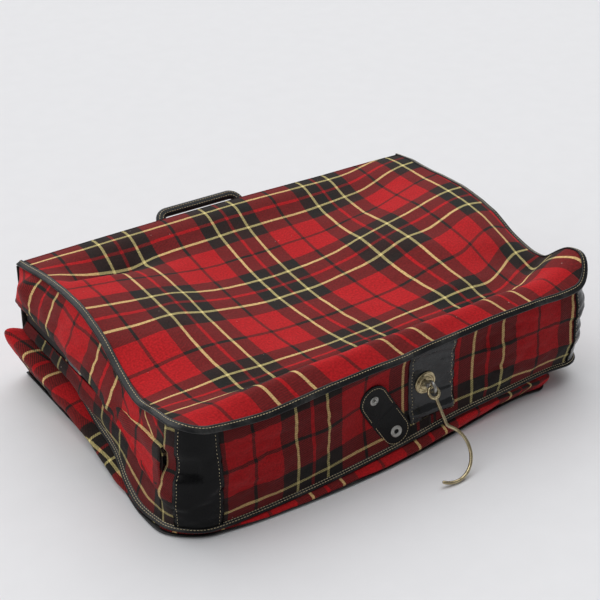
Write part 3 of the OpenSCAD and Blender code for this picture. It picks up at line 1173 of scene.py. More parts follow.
TOP = Level(
    left=((-190, 0, 0), (-150, 2, 0), (-100, 2, 0), (-40, -2, 0), (40, -5, 0), (110, -6, 0), (187, 0, 0)),
    right=((-190, 4, 0), (-160, 5, 0), (-100, 0, 0), (0, -1, 0), (110, -1, 0), (187, 0, 0)),
    front=((-280, 2, 0), (-150, 3, 0), (0, 3, 0), (40, 2.5, 0), (150, 3, 0), (280, 3, 0)),
    lie=TOP_LIE.height,
    own_edge=False,
    hold=45,
)

UNDER = Level(
    left=((-190, 6, 12), (-156, 12, 8), (-121, 16, 9), (-92, 13, 16), (-48, 3, 27), (9, -3, 32), (65, -8, 44),
          (110, -12, 49), (134, -14, 52), (187, -14, 58)),
    right=((-190, 2, 26), (-150, 2, 27), (-90, 1, 31), (0, 0, 42), (100, 0, 57), (187, 0, 67)),
    front=((-280, 6, 10), (-250, 8, 8.5), (-210, 10, 9), (-140, 10, 10), (-70, 9, 13), (0, 7, 18),
           (72, 5, 26), (148, 4, 30), (233, 1, 31), (280, 1, 28)),
    lie=SlopeLie(15.0, 58.0).height,
)

COVER = Level(
    left=((-190, 0, 6), (-156, -4, 4.5), (-92, -6, 9), (-48, -8, 19), (9, -10, 26), (65, -13, 38),
          (110, -16, 44), (187, -17, 54)),
    right=((-190, -42, 17), (-150, -38, 20), (-90, -30, 26), (0, -18, 36), (100, -8, 51), (187, -4, 62)),
    front=((-280, 0, 5.5), (-250, 4, 5), (-140, 8, 6), (-70, 7, 9), (0, 5, 13.5), (72, 3, 21), (148, 1, 25),
           (233, -2, 25), (280, -3, 20)),
    lie=SlopeLie(11.0, 57.0).height,
    hold=190,
)

FLOOR = Level(
    left=((-190, 2, 1.4), (-164, 14, 1.4), (-132, 17, 1.4), (-75, 11, 1.4), (-30, 8, 1.4), (0, 4, 1.4),
          (100, 2, 1.4), (187, 2, 1.4)),
    right=((-190, -50, 1.6), (-100, -36, 1.6), (0, -20, 1.6), (187, 0, 1.6)),
    front=((-280, 3, 1.6), (-210, 14, 1.6), (-150, 18, 1.6), (-20, 17, 1.6), (72, 7, 1.6), (158, -4, 1.6),
           (212, -6, 1.6), (280, -2, 1.6)),
    lie=SlopeLie(1.5).height,
    hold=190,
)


def outward(plan_normal: Array) -> Array:
    """Plan normals as vectors in space."""
    return np.concatenate([plan_normal, np.zeros((len(plan_normal), 1))], 1)


def through(rails: Sequence[Array], rows: int) -> Array:
    """Smooth sheet through a set of rails.

    Args:
        rails: arrays of points that run the same way.
        rows: how many points to make from the first rail to the last.

    Returns:
        Points by rows by 3.
    """
    stack = np.stack(rails, 1)
    gaps = np.linalg.norm(np.diff(stack, axis=1), axis=2).mean(0)
    stations = np.r_[0, np.cumsum(gaps)] / gaps.sum()
    at = np.linspace(0, 1, rows)
    out = np.empty((stack.shape[0], rows, 3))
    for axis in range(3):
        for k, t in enumerate(at):
            out[:, k, axis] = smooth(stations, stack[:, :, axis], np.full(stack.shape[0], t))
    return out


def grid_normals(grid: Array) -> Array:
    """Unit normals of a grid of points.

    Args:
        grid: the points.

    Returns:
        One unit vector for each point.
    """
    across = np.gradient(grid, axis=0)
    down = np.gradient(grid, axis=1)
    normal = np.cross(across, down)
    return normal / np.maximum(np.linalg.norm(normal, axis=2), 1e-9)[..., None]


def depth_from_end(grid: Array) -> Array:
    """Distance along each row of a grid, measured from its last point."""
    step = np.linalg.norm(np.diff(grid, axis=1), axis=2)
    return np.concatenate([np.cumsum(step[:, ::-1], axis=1)[:, ::-1], np.zeros((len(grid), 1))], 1)


@dataclass
class Assembly:
    """A group of pieces: builds them, dresses them and ties them to their bodies.

    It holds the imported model, the bag's finishes, the tree that makes stitches and the pieces made so far.
    """

    frame: dict
    finishes: Finishes
    stitches: StitchTree
    pieces: list[bpy.types.Object] = field(default_factory=list)

    def keep(
        self,
        obj: bpy.types.Object,
        finish: bpy.types.Material,
        slot: Slot,
        body: Body | tuple[Body, Body],
        stands_for: Sequence[str] = (),
        start: tuple[float, float, float] = (0, 0, 0),
        end: tuple[float, float, float] = (0, 0, 0),
    ) -> bpy.types.Object:
        """Dresses a piece and ties it to its body, or leaves it unparented where it lies between two.

        Args:
            obj: the finished piece.
            finish: its material.
            slot: not used.
            body: the body it rides on, or the two it lies between.
            stands_for: CAD nodes it replaces.
            start: not used.
            end: not used.

        Returns:
            The same object.
        """
        obj.data.materials.clear()
        obj.data.materials.append(finish)
        if isinstance(body, tuple):
            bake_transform(obj)
        else:
            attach(obj, body.value)
        if stands_for:
            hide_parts(*stands_for)
        self.pieces.append(obj)
        LOG.info("piece %s on %s", obj.name, body)
        return obj

    def dress(self, finish: bpy.types.Material, *nodes: str) -> None:
        """Gives carried-over CAD nodes their finish.

        Args:
            finish: their material.
            nodes: their names.
        """
        for node in nodes:
            mesh = self.frame["nodes"][node].data
            mesh.materials.clear()
            mesh.materials.append(finish)

    def stitch(
        self, name: str, paths: Sequence[Array], body: Body, pitch: float = 3.6, radius: float = 0.42
    ) -> bpy.types.Object:
        """Sews a line of stitches along each path.

        Args:
            name: the piece's name.
            paths: points of each line, in millimetres.
            body: the body the stitches ride on.
            pitch: distance from stitch to stitch.
            radius: half the thickness of the thread.

        Returns:
            The stitches as one piece.
        """
        obj = wire_object(name, paths)
        values = {"Pitch": pitch * MM, "Stitch length": pitch * 0.8 * MM, "Thread radius": radius * MM}
        self.stitches.apply(obj, {**values, "Finish": self.finishes.thread})
        obj.data.polygons.foreach_set("use_smooth", [True] * len(obj.data.polygons))
        return self.keep(obj, self.finishes.thread, Slot.BINDING, body)


@dataclass(frozen=True)
class Flange:
    """Vinyl tape folded round a seam, standing out from it as a flat flange."""

    half_w: float = 4.1
    half_t: float = 1.15
    drop: float = 40.0

    def profile(self) -> Array:
        """Its cross-section before it is tilted."""
        return round_profile(self.half_w, self.half_t, 6)

    def tilt(self, normal: Array, side_drop: float) -> Array:
        """Tilt at each point of its seam, in radians."""
        share = np.abs(normal[:, 1]) ** 2
        return np.radians(side_drop + (self.drop - side_drop) * share)

    def line(self, path: Array, tilt: Array, across: float, above: float) -> Array:
        """Line that follows the flange.

        Args:
            path: its seam.
            tilt: its tilt at each point.
            across: distance out from its middle.
            above: distance above its middle.

        Returns:
            The line's points.
        """
        side, rise = frames(path, np.array([0.0, 0.0, 1.0]))
        out = across * np.cos(tilt) + above * np.sin(tilt)
        lift = above * np.cos(tilt) - across * np.sin(tilt)
        return path + side * out[:, None] + rise * lift[:, None]

    def build(self, name: str, path: Array, tilt: Array) -> bpy.types.Object:
        """Sweeps the flange along its seam.

        Args:
            name: the piece's name.
            path: the seam's points.
            tilt: its tilt at each point.

        Returns:
            The closed strip.
        """
        rings = np.stack([self.line(path, tilt, a, b) for a, b in self.profile()], 1)
        rows, columns = rings.shape[:2]
        walked = distance_along(path) * MM
        uv = np.stack(np.meshgrid(walked, np.linspace(0, 0.02, columns), indexing="ij"), -1)
        return face_out(new_object(name, rings.reshape(-1, 3), tube_faces(rows, columns), uv.reshape(-1, 2)))


@dataclass
class HalfShell(Assembly):
    """What the two halves share: panels, walls and bound seams."""

    cloth_t: float = 1.1
    corner_y: float = -160.0
    turn_start: float = 184.0
    turn_r: float = 5.6
    turn_steps: int = 8

    def panel_plan(self, rows: int, across: int, far: float = OUTLINE.end) -> Array:
        """Plan of a panel, from its far edge to its near edge.

        Args:
            rows: points from far to near.
            across: points across.
            far: where the panel starts.

        Returns:
            The grid of plan points, in millimetres.
        """
        turn = np.linspace(0, 1, rows)
        y = far + (OUTLINE.near - far) * (1 - (1 - turn) ** 1.25)
        over = np.clip(OUTLINE.near + OUTLINE.radius - y, 0, OUTLINE.radius)
        half = OUTLINE.half_w - OUTLINE.radius + np.sqrt(OUTLINE.radius**2 - over**2)
        x = half[:, None] * np.linspace(-1, 1, across)[None, :]
        return np.stack([x, np.repeat(y[:, None], across, 1)], -1)

    def turn_angles(self) -> Array:
        """Angles at which the cloth is carried round the fold, from upright to nearly level."""
        return np.radians(np.linspace(90, 0, self.turn_steps + 1))[:-1]

    def corners(self, plan: Array) -> tuple[int, int]:
        """Where the near wall starts and ends along the outline."""
        near = plan[:, 1] <= self.corner_y
        return int(np.argmax(near)), int(len(plan) - 1 - np.argmax(near[::-1]))

    def wall(self, grid: Array, walked: Array, pivot: float, lift: float) -> Array:
        """Cloth coordinates of a wall: distance along the seam and height above its lower edge.

        Args:
            grid: the wall's points.
            walked: distance along the seam.
            pivot: where a crossing of the sett stands.
            lift: height of the sett's crossing below the lower edge.

        Returns:
            The coordinates in metres.
        """
        up = depth_from_end(grid) + lift
        along = np.repeat((walked - pivot)[:, None], grid.shape[1], 1)
        return np.stack([along, up], -1) * MM

    def sheet_area(self, grid: Array) -> float:
        """Area of a grid of points.

        Args:
            grid: the points, in millimetres.

        Returns:
            The area in square metres.
        """
        a = np.cross(grid[1:, :-1] - grid[:-1, :-1], grid[:-1, 1:] - grid[:-1, :-1])
        b = np.cross(grid[1:, :-1] - grid[1:, 1:], grid[:-1, 1:] - grid[1:, 1:])
        return float((np.linalg.norm(a, axis=2).sum() + np.linalg.norm(b, axis=2).sum()) / 2 * MM * MM)

    def cloth(
        self, name: str, grid: Array, uv: Array, out: tuple[float, float, float],
        body: Body | tuple[Body, Body], nodes: Sequence[str] = (), held: str = "stretched",
        finish: bpy.types.Material | None = None,
        slot: Slot = Slot.TARTAN, **bend: tuple[float, float, float],
    ) -> bpy.types.Object:
        """Args:
            name: the piece's name.
            grid: its points.
            uv: its cloth coordinates.
            out: the direction its face looks.
            body: the body it rides on, or the two it lies between.
            nodes: CAD nodes it replaces.
            held: not used.
            finish: its material, or the tartan.
            slot: its material slot.
            bend: start and end of the bend.

        Returns:
            The finished piece.
        """
        facing = (grid_normals(grid) * np.array(out)).sum()
        obj = thicken(grid_object(name, grid, uv, flip=facing < 0), self.cloth_t)
        self.keep(obj, finish or self.finishes.tartan, slot, body, nodes, **bend)
        return obj

    def bound_edge(
        self, name: str, seam: Array, normal: Array, side_drop: float, flange: Flange, body: Body,
        nodes: Sequence[str] = (), rows: Sequence[float] = (-1.4,),
    ) -> None:
        """Binds a seam with folded vinyl and sews it down.

        Args:
            name: the piece's name.
            seam: the seam's points.
            normal: the plan normals along it.
            side_drop: the flange's tilt along the sides.
            flange: its size.
            body: the body it rides on.
            nodes: CAD nodes it replaces.
            rows: where each line of stitches runs across it.
        """
        tilt = flange.tilt(normal, side_drop)
        path = seam + outward(normal) * flange.half_w * 0.45
        self.keep(flange.build(name, path, tilt), self.finishes.binding, Slot.BINDING, body, nodes)
        lines = [flange.line(path, tilt, at, flange.half_t * 0.95) for at in rows]
        self.stitch(name + "_stitches", lines, body)


def table_out(plan: Array, normal: Array, left: Table, front: Table, right: Table, at: int) -> Array:
    """One column of the three edge tables along the outline.

    Args:
        plan: points of the outline.
        normal: its normals.
        left: table along the left side, by Y.
        front: table along the near edge, by X.
        right: table along the right side, by Y.
        at: the column wanted.

    Returns:
        The column's value at each point.
    """
    side = np.where(plan[:, 0] < 0, column(left, at, plan[:, 1]), column(right, at, plan[:, 1]))
    share = normal[:, 1] ** 2
    return side * (1 - share) + column(front, at, plan[:, 0]) * share


def rail(plan: Array, normal: Array, left: Table, front: Table, right: Table) -> Array:
    """Rail through a wall from its three tables of reach and height.

    Args:
        plan: points of the outline.
        normal: its normals.
        left: table along the left side, by Y.
        front: table along the near edge, by X.
        right: table along the right side, by Y.

    Returns:
        The rail's points.
    """
    reach = table_out(plan, normal, left, front, right, 1)
    height = table_out(plan, normal, left, front, right, 2)
    return np.concatenate([plan + normal * reach[:, None], height[:, None]], 1)


def stand_off(grid: Array, out: tuple[float, float, float], gap: float) -> Array:
    """Grid moved along its own normals, towards the side it faces.

    Args:
        grid: the points.
        out: the direction the grid faces.
        gap: how far it moves.

    Returns:
        The moved points.
    """
    normal = grid_normals(grid)
    sign = 1.0 if (normal * np.array(out)).sum() > 0 else -1.0
    return grid + normal * sign * gap


@dataclass
class UpperHalf(HalfShell):
    """The half on top: its slack panel, puffed corner, walls, bindings and vinyl patches."""

    hang_x: float = 32.0
    hang_z: float = 82.0
    patch_left: float = 8.0
    patch_right: float = 76.0
    piecing_x: float = 42.0
    tail_z: float = 140.0
    tape_x: float = -280.2
    plan: Array = field(init=False)
    normal: Array = field(init=False)
    walked: Array = field(init=False)
    wall_grid: Array = field(init=False)

    def rails(self) -> tuple[Array, Array, Array, list[Array]]:
        """Rails of the walls, from the top seam to the lower seam.

        Returns:
            Plan points, normals, distance walked and the four rails.
        """
        plan, normal, walked = OUTLINE.walk()
        top, under = TOP.place(plan), UNDER.place(plan)
        ridge = rail(
            plan, normal,
            ((-190, 10, 44), (-166, 12, 50), (-140, 13, 56), (-115, 14, 68), (-94, 15, 80), (-68, 16, 92),
             (-28, 17, 100), (12, 17, 108), (60, 15, 116), (99, 15, 120), (130, 16, 124), (150, 20, 132),
             (168, 15, 124), (187, 7, 114)),
            ((-280, 9, 60), (-230, 9, 84), (-150, 7, 96), (-90, 4, 102), (-60, 0.3, 104), (90, 0.3, 104),
             (150, 5, 102), (230, 7, 98), (280, 4, 96)),
            ((-190, 5, 96), (-150, 8, 96), (-60, 6, 100), (60, 7, 112), (187, 2, 118)),
        )
        waist = rail(
            plan, normal,
            ((-190, 9, 30), (-160, 10, 34), (-120, 9, 40), (-60, 7, 60), (60, 7, 74), (187, 4, 88)),
            ((-280, 9, 34), (-230, 12, 42), (-150, 12, 46), (-95, 8, 49), (-62, 1, 52), (-10, 1, 52),
             (90, 2, 54), (150, 8, 58), (280, 6, 60)),
            ((-190, 6, 60), (-60, 7, 64), (60, 7, 76), (187, 3, 92)),
        )
        return plan, normal, walked, [top, ridge, waist, under]

    def build_top(self) -> None:
        """Top panel, carried over the fold and a little way down the fold wall."""
        plan = self.panel_plan(150, 190, far=self.turn_start)
        flat = plan.reshape(-1, 2)
        grid = TOP.lay(plan)
        cloth = TOP_LIE.cloth(flat[:, 0], flat[:, 1]).reshape(plan.shape)
        crest = grid[0]
        over = []
        for angle in self.turn_angles()[::-1]:
            ring = crest.copy()
            ring[:, 1] = self.turn_start + self.turn_r * np.cos(angle)
            ring[:, 2] = crest[:, 2] - 7 * (1 - np.sin(angle))
            over.append(ring)
        tail = over[0].copy()
        tail[:, 2] = self.tail_z
        lead = np.stack([tail] + over)
        grid = np.concatenate([lead, grid])
        drop = np.linalg.norm(np.diff(grid[: len(lead) + 1], axis=0), axis=2)
        run = np.cumsum(drop[::-1], axis=0)[::-1] * MM
        lead_uv = np.repeat(cloth[:1], len(lead), 0)
        lead_uv[..., 1] += run
        cloth = np.concatenate([lead_uv, cloth])
        self.cloth("top_cloth", grid, cloth, (0, 0, 1), (Body.SPINE, Body.UPPER), ["upper_outer_panel"],
                   start=(0, 0.190, 0.140), end=(0, 0.174, 0.156))

    def rumpled(self, grid: Array, walked: Array, rise: float, seed: int) -> Array:
        """Wall with slack folds that calm down at its seams and round the hanger.

        Args:
            grid: the wall's points.
            walked: distance along the seam.
            rise: height of the folds.
            seed: picks the folds.

        Returns:
            The new points.
        """
        across = np.linspace(0, 1, grid.shape[1])[None, :]
        hold = np.sin(np.pi * across) ** 0.7
        x = np.repeat(walked[:, None], grid.shape[1], 1)
        z = grid[..., 2]
        calm = np.clip((np.abs(x - 8) - 74) / 40, 0.08, 1)
        height = (waves(x * 0.7, z * 1.6, 60, seed) + waves(x, z, 24, seed + 1, 2) * 0.35) * rise
        return grid + grid_normals(grid) * (height * hold * calm)[..., None]

    def tucked(self, grid: Array, plan: Array, normal: Array, walked: Array) -> Array:
        """Wall with a tuck at the near end of the zip, where the pull lies when the zip is open.

        Args:
            grid: the wall's points.
            plan: points of the outline.
            normal: its normals.
            walked: distance along the seam.

        Returns:
            The new points.
        """
        reach = ((grid[..., :2] - plan[:, None]) * normal[:, None]).sum(2)
        beyond = (1 - ease((-240 - walked) / 24))[:, None]
        limit = 2.0 + 14 * ease((np.abs(grid[..., 2] - 88) - 5.5) / 26) + beyond * 24
        grid = grid.copy()
        grid[..., :2] -= normal[:, None] * np.maximum(reach - limit, 0)[..., None]
        return grid

    def build_walls(self) -> None:
        """Walls: the near one round both corners, the left one split by the zip, and the right one."""
        plan, normal, walked, rails = self.rails()
        left_end, right_start = self.corners(plan)
        whole = self.tucked(self.rumpled(through(rails, 44), walked, 3.0, 21), plan, normal, walked)
        self.wall_grid, self.plan, self.normal, self.walked = whole, plan, normal, walked
        middle = int(np.argmin(np.abs(walked - self.piecing_x)))
        near = [("front_cloth_left", left_end, middle, -127.0, ["upper_gusset_front"]),
                ("front_cloth_right", middle, right_start, 121.0, []),
                ("right_cloth", right_start, len(plan) - 1, 121.0, ["upper_gusset_right"])]
        for name, a, b, pivot, nodes in near:
            part = whole[a : b + 1]
            out = (1.0, 0, 0) if name == "right_cloth" else (0, -1.0, 0)
            # The near and right walls take the darker tartan as painted shade.
            self.cloth(name, part, self.wall(part, walked[a : b + 1], pivot, 6), out, Body.UPPER, nodes,
                       finish=self.finishes.painted_shade_wall_tartan)
        side = slice(0, left_end + 1)
        top, ridge, waist, under = (r[side] for r in rails)
        tape_top, tape_low = top.copy(), top.copy()
        tape_top[:, 0], tape_top[:, 2] = self.tape_x, 101.5
        tape_low[:, 0], tape_low[:, 2] = self.tape_x, 74.5
        back = tape_top.copy()
        back[:, 0] = -289.5
        back[:, 2] = 103.5
        curtain = self.rumpled(through([top, ridge, back, tape_top], 40), walked[side], 2.2, 33)
        self.cloth("left_cloth", curtain, self.wall(curtain, walked[side], -420, 12), (-1, 0, 0), Body.UPPER,
                   ["upper_gusset_left"])
        bulge = waist.copy()
        share = ease((-100 - plan[side, 1]) / 60)
        bulge[:, 0] = -285 - 5 * share
        bulge[:, 2] = np.minimum(62, (74 + under[:, 2]) / 2)
        low = self.rumpled(through([tape_low, bulge, under], 24), walked[side], 1.4, 35)
        # The lower left wall takes the darker tartan as painted shade.
        self.cloth("left_cloth_low", low, self.wall(low, walked[side], -420, 6), (-1, 0, 0), Body.UPPER,
                   ["upper_gusset_left_low"], finish=self.finishes.painted_shade_wall_tartan)

    def build_inner(self) -> None:
        """Inner panel, which lies against the lower half."""
        grid = UNDER.lay(self.panel_plan(70, 90))
        self.cloth("inner_cloth", grid, grid[..., :2] * MM, (0, 0, -1), Body.UPPER, ["upper_inner_panel"])

    def build_bindings(self) -> None:
        """Vinyl bindings of the top and the lower seam."""
        top, under = TOP.place(self.plan), UNDER.place(self.plan)
        self.bound_edge("top_binding", top, self.normal, 22, Flange(4.4, 1.3, 46), Body.UPPER,
                        ["upper_binding_top"], rows=(-1.6,))
        self.bound_edge("lower_edge_binding", under, self.normal, 30, Flange(4.4, 1.3, 34), Body.UPPER,
                        ["upper_binding_lower"], rows=(-1.2, 1.4))

    def patch_grid(self, start: float, end: float, low: float, high: float, gap: float) -> Array:
        """Part of the near wall's face, moved out.

        Args:
            start: where it starts along the seam.
            end: where it ends.
            low: share of the wall's rows where it starts, from the top.
            high: share where it ends.
            gap: how far out it lies.

        Returns:
            The patch's points.
        """
        rows = self.wall_grid.shape[1]
        pick = (self.walked >= start) & (self.walked <= end)
        part = self.wall_grid[pick][:, int(rows * low) : int(math.ceil(rows * high))]
        return stand_off(part, (0, -1, 0), gap)

    def vinyl_patch(self, name: str, grid: Array, finish: bpy.types.Material, nodes: Sequence[str],
                    sewn: Sequence[Array]) -> None:
        """Vinyl patch with its stitches.

        Args:
            name: the piece's name.
            grid: its points.
            finish: its material.
            nodes: CAD nodes it replaces.
            sewn: lines of stitches.
        """
        walked = np.linspace(0, 1, grid.shape[0])
        uv = np.stack(np.meshgrid(walked, np.linspace(0, 1, grid.shape[1]), indexing="ij"), -1) * 0.1
        self.cloth(name, grid, uv, (0, -1, 0), Body.UPPER, nodes, finish=finish, slot=Slot.PATCH)
        self.stitch(name + "_stitches", sewn, Body.UPPER, pitch=4.2, radius=0.55)

    def build_patches(self) -> None:
        """Corner patches and the crumpled hanger patch."""
        for name, start, end, node in (
            ("corner_patch_left_skin", -284.0, -238.0, "corner_patch_left"),
            ("corner_patch_right_skin", 252.0, 292.0, "corner_patch_right"),
        ):
            grid = self.patch_grid(start, end, 0, 1, 1.5)
            lines = [stand_off(grid, (0, -1, 0), 0.7)[k] for k in (1, -2)]
            self.vinyl_patch(name, grid, self.finishes.patch, [node], lines)
        grid = self.patch_grid(self.patch_left, self.patch_right, 0.05, 0.86, 1.2)
        x, z = grid[..., 0], grid[..., 2]
        clear = ease((np.hypot(x - self.hang_x, z - self.hang_z) - 17) / 16)
        edge = ease((x - self.patch_left) / 8) * ease((self.patch_right - x) / 8)
        fold = waves(z, x * 0.12, 26, 61, 1) * 9 + waves(x, z * 2, 30, 62, 2) * 1.2
        grid[..., 1] -= np.abs(fold) * clear * edge
        lines = [stand_off(grid, (0, -1, 0), 0.7)[k] for k in (1, -2)]
        self.vinyl_patch("hanger_patch_skin", grid, self.finishes.hanger_patch, ["hanger_patch"], lines)

    def build(self) -> None:
        """Makes the whole half."""
        self.build_top()
        self.build_walls()
        self.build_inner()
        self.build_bindings()
        self.build_patches()


@dataclass
class LowerHalf(HalfShell):
    """The half underneath: a flat wedge with its rolled near edge."""

    wall_rows: int = 22
    base_z: float = 1.4

    def build_walls(self, plan: Array, normal: Array, walked: Array, cover: Array, floor: Array) -> None:
        """The three walls between the floor and the cover.

        Args:
            plan: points of the outline.
            normal: its normals.
            walked: distance along it.
            cover: the walls' upper seam.
            floor: their lower seam.
        """
        bulge = rail(
            plan, normal,
            ((-190, 5, 4), (-156, 14, 4), (-92, 17, 6), (-52, 18, 10), (-27, 16, 13), (31, 16, 24),
             (98, 19, 38), (158, 25, 56), (187, 29, 68)),
            ((-280, 4, 4), (-250, 9, 4), (-210, 17, 4), (-150, 21, 4.5), (-82, 21, 6), (-12, 21, 9),
             (72, 14, 14), (158, 6, 17), (212, 3, 17), (280, 1, 13)),
            ((-190, -42, 9), (-100, -26, 13), (0, -10, 20), (187, 4, 33)),
        )
        bulge[:, 0] = np.minimum(bulge[:, 0], np.maximum(cover[:, 0], floor[:, 0]) + 8)
        grid = through([cover, bulge, floor], self.wall_rows)
        rumple = waves(np.repeat(walked[:, None], self.wall_rows, 1), grid[..., 2] * 2, 46, 71)
        slack = np.sin(np.linspace(0, np.pi, self.wall_rows))[None]
        grid = grid + grid_normals(grid) * (rumple * slack * 1.2)[..., None]
        left_end, right_start = self.corners(plan)
        for name, a, b, pivot, out, node in (
            ("lower_left_cloth", 0, left_end, -435.0, (-1, 0, 0), "lower_gusset_left"),
            ("lower_front_cloth", left_end, right_start, 35.0, (0, -1, 0), "lower_gusset_front"),
            ("lower_right_cloth", right_start, len(plan) - 1, 35.0, (1, 0, 0), "lower_gusset_right"),
        ):
            part = grid[a : b + 1]
            lift = 2.0 if name == "lower_left_cloth" else 52.0
            self.cloth(name, part, self.wall(part, walked[a : b + 1], pivot, lift), out, Body.LOWER, [node])

    def build_panels(self) -> None:
        """The inner panel, and the outer one carried round the fold and a little way up the fold wall."""
        inner = COVER.lay(self.panel_plan(70, 90))
        self.cloth("lower_inner_cloth", inner, inner[..., :2] * MM, (0, 0, 1), Body.LOWER,
                   ["lower_inner_panel"])
        base = FLOOR.lay(self.panel_plan(60, 80, far=self.turn_start))
        over = []
        for angle in self.turn_angles()[:0:-1]:
            ring = base[0].copy()
            ring[:, 1] = self.turn_start + self.turn_r * math.cos(angle)
            ring[:, 2] = self.base_z + 6 * (1 - math.sin(angle))
            over.append(ring)
        tail = over[0].copy()
        tail[:, 1:] = (189.6, 16)
        lead = np.stack([tail] + over)
        base = np.concatenate([lead, base])
        uv = base[..., :2] * MM
        uv[: len(lead), :, 1] += (base[: len(lead), :, 2] - self.base_z) * MM
        self.cloth("lower_outer_cloth", base, uv, (0, 0, -1), (Body.LOWER, Body.SPINE), ["lower_outer_panel"],
                   start=(0, 0.174, 0.0), end=(0, 0.19, 0.016))

    def build_bindings(self, plan: Array, normal: Array, cover: Array, floor: Array) -> None:
        """Binding round the floor, and one along each side of the cover.

        Args:
            plan: points of the outline.
            normal: its normals.
            cover: the walls' upper seam.
            floor: their lower seam.
        """
        left_end, right_start = self.corners(plan)
        self.bound_edge("floor_binding", floor + np.array([0, 0, 0.6]), normal, 4, Flange(3.6, 1.0, 2),
                        Body.LOWER, ["lower_binding_floor"])
        for side, part in (("left", slice(None, left_end + 1)), ("right", slice(right_start, None))):
            self.bound_edge("cover_binding_" + side, cover[part], normal[part], 20, Flange(3.4, 1.1, 0),
                            Body.LOWER, ["lower_binding_" + side])

    def build(self) -> None:
        """Makes the whole half."""
        plan, normal, walked = OUTLINE.walk()
        cover, floor = COVER.place(plan), FLOOR.place(plan)
        self.build_walls(plan, normal, walked, cover, floor)
        self.build_panels()
        self.build_bindings(plan, normal, cover, floor)


@dataclass
class FoldWall(HalfShell):
    """The wall at the fold, its bound side seams and the fans that close the two halves when it opens."""

    face: float = 189.6
    slit: float = 187.0

    def upright(
        self, y: float, low: float, high: float, half: float = 280.0, rows: int = 24
    ) -> tuple[Array, Array]:
        """Flat upright sheet across the bag.

        Args:
            y: where it stands.
            low: its lowest height.
            high: its highest height.
            half: half its width.
            rows: points up.

        Returns:
            Its points and cloth coordinates.
        """
        x, z = np.meshgrid(np.linspace(-half, half, 90), np.linspace(low, high, rows), indexing="ij")
        out = y + waves(x, z, 70, 81) * 0.15
        grid = np.stack([x, out, z], -1)
        return grid, np.stack([x + 17, -z - 18], -1) * MM

    def build(self) -> None:
        """Makes the wall, its bindings and the fans."""
        grid, uv = self.upright(self.face, 15.6, 140.4)
        self.cloth("fold_cloth", grid, uv, (0, 1, 0), Body.SPINE, ["spine_panel"])
        for name, low, high, bodies, start_z, end_z in (
            ("lower_fan", 2.5, 66, (Body.LOWER, Body.SPINE), 0.066, 0.004),
            ("upper_fan", 76, 150, (Body.SPINE, Body.UPPER), 0.150, 0.076),
        ):
            fan, fan_uv = self.upright(self.slit, low, high, 277)
            self.cloth(name, fan, fan_uv, (0, -1, 0), bodies, finish=self.finishes.tape, slot=Slot.TAPE,
                       start=(0, 0.187, start_z), end=(0, 0.187, end_z))
        for name, x, node in (("fold_binding_left", -281.5, "spine_binding_left"),
                              ("fold_binding_right", 281.5, "spine_binding_right")):
            z = np.linspace(6, 150, 60)
            path = np.stack([np.full_like(z, x), np.full_like(z, 189.2), z], 1)
            obj = sweep(name, path, np.array([0, 1.0, 0]), round_profile(3.6, 1.2, 6))
            self.keep(obj, self.finishes.binding, Slot.BINDING, Body.SPINE, [node])
            self.stitch(name + "_stitches", [path + np.array([0, 1.15, 0])], Body.SPINE)


